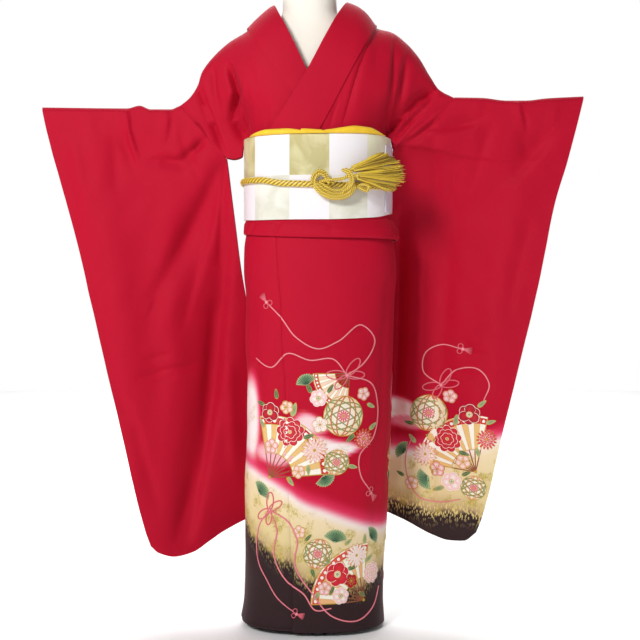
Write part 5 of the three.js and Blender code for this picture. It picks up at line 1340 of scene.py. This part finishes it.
def sleeve_front():
    m = Motifs()
    fan(m, (350, 332), 124, 2.2, 1.7, AMBER, RED)
    peony(m, (292, 400), 30, SCARLET, CARMINE, 0.2)
    chrysanthemum(m, (244, 362), 27, WHITE, CORAL, 0.1)
    ball(m, (252, 456), 40, BUFF, RED)
    camellia(m, (338, 458), 23, RED, DEEP_RED, 0.4, 6)
    plum(m, (270, 330), 16, WHITE, PINK, 0.4)
    plum(m, (324, 352), 16, WHITE, SALMON, 0.9)
    plum(m, (298, 496), 15, WHITE, PINK, 0.1)
    chrysanthemum(m, (374, 404), 22, MELON, RED, 0.5, 6)
    camellia(m, (300, 306), 21, WHITE, BLUSH, 0.2)
    ball(m, (346, 296), 26, IVORY, SALMON)
    pine(m, (252, 310), 28, 3.6)
    pine(m, (200, 366), 24, 2.6)
    plum(m, (214, 296), 15, WHITE, SALMON, 0.5)
    leaves(m, (308, 432, 24, 1.4), (266, 394, 22, 2.6), (222, 388, 22, 2.2), (316, 374, 22, -0.3),
           (282, 292, 22, 3.6), (322, 322, 20, 0.5), (356, 476, 22, 0.7), (196, 312, 18, 2.6),
           (352, 384, 20, -1.3), (218, 430, 20, 2.9), (374, 440, 20, 0.3))
    bow(m, (280, 520), 42, 0.6)
    cord(m, [(280, 520), (316, 558), (356, 560), (380, 526), (368, 490)])
    cord(m, [(280, 520), (240, 552), (244, 592), (282, 612), (322, 604)])
    cord_tassel(m, (326, 603), -0.2, 20)
    cord(m, [(216, 404), (200, 352), (206, 304), (232, 264), (276, 258), (318, 268)], 2.4)
    return m


# ---- Sash ----


def obi():
    fall = np.linspace(0, 1, 24)[:, None]
    angle = np.linspace(-180, 180, 240, endpoint=False)[None]
    z = mix(waist_edge(angle, "top"), waist_edge(angle, "low"), fall)
    swell = 0.35 * np.sin(fall * 9 + angle / 21) * np.sin(np.pi * fall)
    grid = section_point(WAIST_SHIFT, OBI_HALF_WIDTH + swell, OBI_HALF_DEPTH + swell, z, angle)
    along = np.interp(angle, FULL_TURN, run_round(OBI_HALF_WIDTH, OBI_HALF_DEPTH))
    return shell("obi_band", grid, BROCADE, satin, True, uv=points(along, z, 0)[..., :2])


WRAP_ANGLES = (62, 128)
WRAP_HEIGHTS = (1046, 903)
WRAP_WALL = 2.4


def obi_wrap():
    """The end of the sash's second turn, at the wearer's left, in white satin greyed as painted shade."""
    angle = np.linspace(*WRAP_ANGLES, 60)[None]
    z = np.linspace(*WRAP_HEIGHTS, 20)[:, None]
    out = 2.9 + 0.3 * np.sin(z / 17 + angle / 9)
    grid = section_point(WAIST_SHIFT, OBI_HALF_WIDTH + out, OBI_HALF_DEPTH + out, z + 0 * angle, angle)
    return shell("obi_second_turn", grid, WRAP_WALL, painted_shade_satin)


# The drum's section, from inside its top over the outside to the inside of its foot.
DRUM = table(
    "at y z",
    (0, 118.4, 1028), (1, 118.4, 1072), (2, 126, 1100), (3, 142, 1117), (4, 160, 1108), (5, 172, 1076),
    (6, 177, 1030), (7, 178, 980), (8, 174, 930), (9, 165, 902), (10, 150, 892), (11, 138, 902),
    (12, 135, 936),
)


DRUM_HALF_WIDTH = 140
END_HALF_WIDTH = 156


def obi_drum():
    at = np.linspace(0, 12, 110)[:, None]
    u = np.linspace(-1, 1, 48)[None]
    y, z = smooth(DRUM, "at", at, "y"), smooth(DRUM, "at", at, "z")
    sag = 6 * (1 - u * u) * ease(1100, 960, z) * ease(130, 170, y)
    dimple = 0.8 * np.sin(u * 7 + z / 40) * ease(150, 175, y)
    grid = points(u * DRUM_HALF_WIDTH, y + sag + dimple, z + 0 * u)
    run = run_along(np.c_[y, z])[:, None]
    cloth = points(u * DRUM_HALF_WIDTH, CHECK_LEVEL - 86 + run % 172, 0)
    return shell("obi_drum_cloth", grid, BROCADE, satin, uv=cloth[..., :2])


def obi_end():
    z = np.linspace(1036, 930, 14)[:, None]
    u = np.linspace(-1, 1, 40)[None]
    x = u * END_HALF_WIDTH
    grid = points(x, 128.7 - 2 * u * u + 0.2 * np.sin(z / 12), z + 0 * u)
    return shell("obi_end_cloth", grid, BROCADE, satin, uv=points(x, z, 0)[..., :2])


def capped(ring, tips):
    """Points and faces of a tube of rings, closed at each end by a tip."""
    rings, sides = ring.shape[:2]
    faces = [grid_faces(rings, sides, True)]
    for end, row in enumerate((0, rings - 1)):
        k = np.arange(sides) + row * sides
        tip = np.full(sides, rings * sides + end)
        cap = np.stack([k, np.roll(k, -1), tip, tip], -1)
        faces.append(cap[:, ::-1] if end else cap)
    return np.r_[ring.reshape(-1, 3), tips], np.concatenate(faces)


def tube(path, radius, sides, lobes=0, pitch=12.0, flat=1.0, up=(0, -1, 0), loop=False, taper=1.0,
         groove=0.16):
    """Points, faces and crests of a tube; lobes and pitch twist its section into a rope's strands, and the
    crests drive the cord's painted shade and highlight.
    """
    path = np.asarray(path, float)
    ahead = unit(np.roll(path, -1, 0) - np.roll(path, 1, 0) if loop else np.gradient(path, axis=0))
    side = unit(np.cross(ahead, up))
    top = np.cross(side, ahead)
    run = run_along(path)
    if loop:
        total = run[-1] + np.linalg.norm(path[0] - path[-1])
        pitch = total / max(round(total / pitch), 1)
    turn = np.linspace(0, 2 * math.pi, sides, endpoint=False)[None]
    twist = 2 * math.pi * run[:, None] / pitch
    wave = np.abs(np.cos(lobes / 2 * (turn - twist))) if lobes else np.ones((len(path), sides))
    r = radius * (1 - groove + 2 * groove * wave) * np.broadcast_to(taper, len(path))[:, None]
    across, over = (r * np.cos(turn) * flat)[..., None], (r * np.sin(turn))[..., None]
    ring = path[:, None] + side[:, None] * across + top[:, None] * over
    if not loop:
        return *capped(ring, path[[0, -1]]), np.r_[wave.ravel(), 0.6, 0.6]
    first = np.r_[np.arange(sides), 0]
    faces = [grid_faces(len(path), sides, True), strip(first + (len(path) - 1) * sides, first)]
    return ring.reshape(-1, 3), np.concatenate(faces), wave.ravel()


def merge(parts):
    """One list of points, of faces and of each further value, from several."""
    starts = np.cumsum([0] + [len(part[0]) for part in parts])
    verts, faces, *others = zip(*parts)
    faces = [f + start for f, start in zip(faces, starts)]
    return [np.concatenate(a) for a in (verts, faces, *others)]


def corded(name, parts):
    verts, faces, crest = merge(parts)
    # crest holds the painted shade of the grooves and the painted highlight of the strands' crests.
    return build(name, verts, faces, cord_silk, {"crest": crest}, sharp=0)


CORD_HEIGHT = table(
    "angle z",
    (-180, 966), (-90, 970), (-45, 968), (-20, 959), (40, 955), (90, 960), (180, 966),
)


CORD_HALF_HEIGHT = 5.9
CORD_FLATNESS = 0.6


def obijime():
    angle = np.linspace(-180, 180, 900, endpoint=False)
    over_wrap = ease(53, 61, angle) * ease(-137, -129, -angle)
    out = 4.0 + over_wrap * 2.9
    z = smooth(CORD_HEIGHT, "angle", angle, "z")
    path = section_point(WAIST_SHIFT, OBI_HALF_WIDTH + out, OBI_HALF_DEPTH + out, z, angle)
    look = {"lobes": 4, "pitch": 38, "flat": CORD_FLATNESS, "groove": 0.17}
    return corded("obijime_cord", [tube(path, CORD_HALF_HEIGHT, 18, up=(0, 0, 1), loop=True, **look)])


# Depth and path of each strand of the knot.
KNOT = (
    (-126, ((-13, 957), (-11, 972), (2, 984), (14, 980), (22, 967), (34, 958))),
    (-129, ((-7, 955), (-5, 969), (3, 977), (11, 975), (17, 966), (24, 957))),
    (-127.5, ((-11, 955), (4, 938), (22, 928), (44, 926), (64, 932), (79, 951))),
    (-129.5, ((-8, 958), (6, 942.5), (24, 932.5), (46, 931), (64, 938), (76, 955))),
    (-126.5, ((-4, 960), (10, 947), (28, 937), (52, 938), (70, 956))),
    (-125, ((2, 962), (14, 953), (30, 944), (50, 945), (64, 960))),
    (-130, ((6, 962), (30, 965), (54, 968), (66, 976))),
    (-131, ((50, 986), (62, 978), (68, 964), (64, 950), (52, 940))),
    (-132, ((56, 987), (67, 981), (73, 967), (70, 953), (60, 944))),
    (-120.5, ((68, 958), (80, 953), (92, 946), (102, 943), (107, 950), (99, 955), (84, 954))),
)


def knot():
    parts = []
    for y, path in KNOT:
        last = len(path) - 1
        spine = [(x, y - 3 * math.sin(math.pi * i / last), z) for i, (x, z) in enumerate(path)]
        parts.append(tube(curve_through(spine, 34 * last), 3.1, 12, lobes=3, pitch=15, groove=0.19))
    return corded("obijime_knot_cord", parts)


# The root of each tassel and the curve of its strands' tips.
TASSELS = {
    "tassel_upper": (
        (63, -131, 983.4),
        table("at x y z", (0, 120, -112, 1013), (0.35, 138, -110, 1025), (0.7, 166, -106, 1012),
              (1, 181, -103, 994)),
    ),
    "tassel_lower": (
        (71, -132.5, 973),
        table("at x y z", (0, 183, -100, 998), (0.4, 184, -102, 974), (0.7, 175, -106, 954),
              (1, 150, -110, 940)),
    ),
}
STRAND_COLUMNS = 22
STRAND_LAYERS = 5
STRAND_RADIUS = 0.72


def tassel(name):
    root, tips = TASSELS[name]
    root = np.array(root, float)
    tip_at = lambda at: np.array([float(smooth(tips, "at", at, a)) for a in "xyz"])
    reach = unit(tip_at(0.5) - root)
    across = unit(np.cross((0, 1, 0), reach))
    deep = np.cross(across, reach)
    rng = np.random.default_rng(len(name) + int(root[2]))
    neck = [root + reach * s for s in np.linspace(0, 12, 14)]
    swell = np.r_[np.full(5, 1.0), 1.25, 1.3, 1.25, np.linspace(1.1, 2.1, 6)]
    parts = [tube(neck, 3.0, 16, lobes=8, pitch=9.0, taper=swell)]
    for i in range(STRAND_COLUMNS):
        for j in range(STRAND_LAYERS):
            share = (i + rng.uniform(0, 1)) / STRAND_COLUMNS
            level = j / 2 - 1 + rng.uniform(-0.15, 0.15)
            start = root + reach * 10 + across * (share - 0.5) * 13 + deep * level * 3
            tip = tip_at(share) + deep * level * 5.5 + rng.normal(0, 1.3, 3)
            tip = mix(start, tip, rng.uniform(0.86, 1.0))
            knee = mix(start, tip, 0.4) + reach * 4 + across * rng.normal(0, 0.5)
            late = mix(start, tip, 0.8) + across * rng.normal(0, 0.8) + deep * rng.normal(0, 0.6)
            strand, quads, crest = tube(curve_through([start, knee, late, tip], 12), STRAND_RADIUS, 4)
            # Each strand's crest value is scaled by a random share, so the painted shade darkens some strands
            # more than others.
            parts.append((strand, quads, crest * rng.uniform(0.3, 1)))
    return corded(name + "_threads", parts)


# Three lobes of the scarf from left to right: how far each stands out, and its top edge.
SCARF_LOBES = (
    (0.0, table("angle z", (-61, 1062), (-56, 1067), (-37, 1074.6), (-20, 1074.4), (-11, 1071), (-4, 1064))),
    (1.4, table("angle z", (-10.5, 1064), (-9.2, 1073.4), (0, 1071.4), (3.4, 1069.4), (5.5, 1066))),
    (0.0, table("angle z", (0, 1064), (3, 1070), (8, 1072.6), (14, 1075.6), (26, 1080.6), (40, 1079),
                (50, 1072.6), (61, 1062))),
)
SCARF_THICKNESS = 9


def obiage():
    parts = []
    turn = np.linspace(0, 2 * math.pi, 40, endpoint=False)[None]
    for out_by, edge in SCARF_LOBES:
        angle = np.linspace(edge["angle"][0], edge["angle"][-1], 90)
        thick = SCARF_THICKNESS * np.sqrt(1 - 0.93 * np.linspace(-1, 1, 90) ** 8)
        low = waist_edge(angle, "top") + 0.3
        high = np.maximum(smooth(edge, "angle", angle, "z"), low + 1.2)
        at = lambda a: section_point(
            WAIST_SHIFT, OBI_HALF_WIDTH + 1, OBI_HALF_DEPTH - BROCADE + 4.5, (low + high) / 2, a
        )
        out = unit(np.cross(at(angle + 0.5) - at(angle), (0, 0, 1)))
        centre = at(angle) + out * out_by
        steep, slow = np.radians(angle * 5)[:, None], np.radians(angle * 8)[:, None]
        plait = 1 + 0.08 * (np.cos(5 * turn + steep) + 0.6 * np.cos(9 * turn - slow))
        ring = centre[:, None] + out[:, None] * (thick[:, None] / 2 * np.cos(turn) * plait)[..., None]
        ring[..., 2] += (high - low)[:, None] / 2 * np.sin(turn) * (0.96 + 0.04 * plait)
        parts.append(capped(ring, centre[[0, -1]]))
    return build("obiage_scarf", *merge(parts), scarf_silk, sharp=0)


# ---- Form and stand ----


FORM_SIDES = 96
POLE_RADIUS = 14


def dress_form():
    """The form's body, with a bore through which the sleeve bar runs."""
    z = np.r_[np.linspace(800, 1396, 120), 1398.5, 1400.5, 1402]
    angle = np.linspace(-180, 180, FORM_SIDES, endpoint=False)[None]
    value = lambda name: smooth(FORM, "z", z, name)[:, None]
    grid = section_point(value("shift"), value("half"), value("depth"), z[:, None] + 0 * angle, angle)
    piece = build("form_body", *capped(grid, grid[[0, -1]].mean(1)), form_cover, sharp=40)
    bore = rod("bore", BAR_RADIUS + 0.3, -560, 560)
    cut = piece.modifiers.new("bore", "BOOLEAN")
    cut.operation = "DIFFERENCE"
    cut.object = bore
    bpy.context.view_layer.update()
    done = bpy.data.meshes.new_from_object(piece.evaluated_get(bpy.context.evaluated_depsgraph_get()))
    piece.modifiers.clear()
    piece.data = done
    bpy.data.objects.remove(bore)
    return piece


def rod(name, radius, start, end):
    """Rod along the sleeve bar's line with rounded ends."""
    x = np.r_[start, start + 0.6, start + 2, end - 2, end - 0.6, end]
    path = points(x, 0, BAR_HEIGHT + BAR_TILT * x)
    taper = np.array([0.8, 0.93, 1, 1, 0.93, 0.8])
    return build(name, *tube(path, radius, 48, taper=taper)[:2], black_paint, sharp=40)


def pole():
    z = np.array([24.3, 25, 27, 797, 799, 799.7])
    taper = np.array([0.94, 0.99, 1, 1, 0.99, 0.94])
    return build("pole_tube", *tube(points(0, 0, z), POLE_RADIUS, 48, taper=taper)[:2], black_paint, sharp=40)


# ---- Assembly ----

BACK_SEAM = 180.05
right_upper = panel("body_right_upper_cloth", RIGHT_PANEL, RIGHT_PANEL_FOLDS, lambda x: 0 * x)
left_upper = panel("body_left_upper_cloth", LEFT_PANEL, LEFT_PANEL_FOLDS, overlap_lift)
band = collar()
right_sleeve = sleeve("sleeve_right_cloth", RIGHT_SLEEVE)
left_sleeve = sleeve("sleeve_left_cloth", LEFT_SLEEVE, SLEEVE_ZONES, SLEEVE_MIST)
overlap_left = skirt("skirt_overlap_left_cloth", LEFT_EDGE, LEFT_SEAM, 20, 46)
body_left = skirt("skirt_body_left_cloth", LEFT_SEAM, (BACK_SEAM, BACK_SEAM), 10, 120)
body_right = skirt(
    "skirt_body_right_cloth", (-BACK_SEAM, -BACK_SEAM), RIGHT_SEAM, 12, 110,
    lambda a: UNDER_INSET * ease(-150, -108, a),
)
overlap_right = skirt(
    "skirt_overlap_right_cloth", RIGHT_SEAM, RIGHT_EDGE, 18, 48, lambda a: UNDER_INSET + 0 * a
)
tuck = waist_tuck()
form = dress_form()
bar = rod("bar_tube", BAR_RADIUS, -598, 574)
stem = pole()

on_left_sleeve = BVHTree.FromObject(left_sleeve, bpy.context.evaluated_depsgraph_get())
skirt_motifs = skirt_front().build("skirt_front_motifs", skirt_spot)
skirt_back_motifs = skirt_back().build("skirt_back_motifs", skirt_spot)
sleeve_motifs = sleeve_front().build("sleeve_left_motifs", cloth_spot(on_left_sleeve, -1))
for piece in (skirt_motifs, skirt_back_motifs, sleeve_motifs):
    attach(piece, "root")

MOTIFS_ON = {"skirt_body_left": [skirt_motifs, skirt_back_motifs], "sleeve_left": [sleeve_motifs]}
CLOTH = [
    (right_upper, "body_right_upper", (0.31, 0.64), 0.155, ["form_body", "bar_tube"]),
    (left_upper, "body_left_upper", (0.31, 0.64), 0.157, ["form_body", "bar_tube"]),
    (band, "collar", (0.075, 1.25), None, ["form_body"]),
    (right_sleeve, "sleeve_right", (0.335, 2.0), None, ["bar_tube"]),
    (left_sleeve, "sleeve_left", (0.335, 2.0), None, ["bar_tube"]),
    (overlap_left, "skirt_overlap_left", (0.16, 0.94), None, ["form_body"]),
    (body_left, "skirt_body_left", (0.51, 0.945), None, ["form_body"]),
    (body_right, "skirt_body_right", (0.435, 0.945), None, ["form_body"]),
    (overlap_right, "skirt_overlap_right", (0.168, 0.94), None, ["form_body"]),
    (tuck, "waist_tuck", (0.087, 0.88), None, ["form_body"]),
]
for piece, node_name, cut, cut_area, on in CLOTH:
    finish_piece(
        piece, node_name, cloth=cut, rests_on=on, area=cut_area,
        with_pieces=MOTIFS_ON.get(node_name, []),
    )
SASH = [
    (obi(), "obi", (0.178, 0.87), "hung", "form_body"),
    (obi_wrap(), "obi_wrap", (0.143, 0.154), "hung", "obi_band"),
    (obi_drum(), "obi_drum", (0.28, 0.42), "folded", "obi_band"),
    (obi_end(), "obi_end", (0.106, 0.324), "folded", "obi_drum_cloth"),
]
for piece, node_name, cut, held, on in SASH:
    finish_piece(piece, node_name, cloth=cut, held=held, rests_on=[on])
finish_piece(obiage(), "obiage")
finish_piece(obijime(), "obijime")
finish_piece(knot(), "obijime_knot")
for name in TASSELS:
    finish_piece(tassel(name), name)
finish_piece(form, "dress_form")
finish_piece(bar, "sleeve_bar")
finish_piece(stem, "stand_pole")
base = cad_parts["stand_base"]
base.data.materials.clear()
base.data.materials.append(black_paint)

# ---- Setting ----

floor_mesh = bpy.data.meshes.new("floor")
floor_mesh.from_pydata([(-6, -6, 0), (6, -6, 0), (6, 6, 0), (-6, 6, 0)], [], [(0, 1, 2, 3)])
floor = bpy.data.objects.new("floor", floor_mesh)
bpy.context.scene.collection.objects.link(floor)
floor_mesh.materials.append(plain("floor_paint", [246, 246, 246], [251, 251, 251], 2.0, 0.9))

world = bpy.data.worlds.new("studio")
world.use_nodes = True
sky = world.node_tree
backdrop = sky.nodes["Background"]
backdrop.inputs["Color"].default_value = (1, 1, 1, 1)
split = sky.nodes.new("ShaderNodeSeparateXYZ")
ramp = sky.nodes.new("ShaderNodeMapRange")
# Light from behind the garment is stronger than light from the front.
for index, value in ((1, -0.15), (2, 0.7), (3, 0.15), (4, 1.0)):
    ramp.inputs[index].default_value = value
sky.links.new(sky.nodes.new("ShaderNodeTexCoord").outputs["Generated"], split.inputs[0])
sky.links.new(split.outputs["Y"], ramp.inputs[0])
sky.links.new(ramp.outputs[0], backdrop.inputs["Strength"])
bpy.context.scene.world = world


def placed(name, data, place, aim):
    """An object at a place, turned so that its -Z axis points at its aim."""
    holder = bpy.data.objects.new(name, data)
    holder.location = place
    holder.rotation_euler = (Vector(aim) - Vector(place)).to_track_quat("-Z", "Y").to_euler()
    bpy.context.scene.collection.objects.link(holder)
    return holder


# Name, place and aim in metres, size in metres and power in watts.
LAMPS = (
    ("key", (-1.5, -2.8, 2.3), (0, 0, 0.85), 0.8, 87),
    ("fill", (0.9, -3.0, 1.3), (0, 0, 0.6), 1.6, 8),
    ("back", (0.5, 2.8, 2.2), (0, 0, 0.8), 2.0, 24),
    ("floor_wash", (0, 3.6, 4.0), (0, 3.9, 0), 4.0, 240),
)
for name, place, aim, size, power in LAMPS:
    light = bpy.data.lights.new(name, "AREA")
    light.size = size
    light.energy = power
    placed(name, light, place, aim)

camera = bpy.data.cameras.new("camera")
camera.sensor_width = 36
camera.lens = 63.9
bpy.context.scene.camera = placed("camera", camera, (0.004, -2.5, 0.727), (0.004, 0, 0.67))
bpy.context.scene.view_settings.view_transform = "Standard"
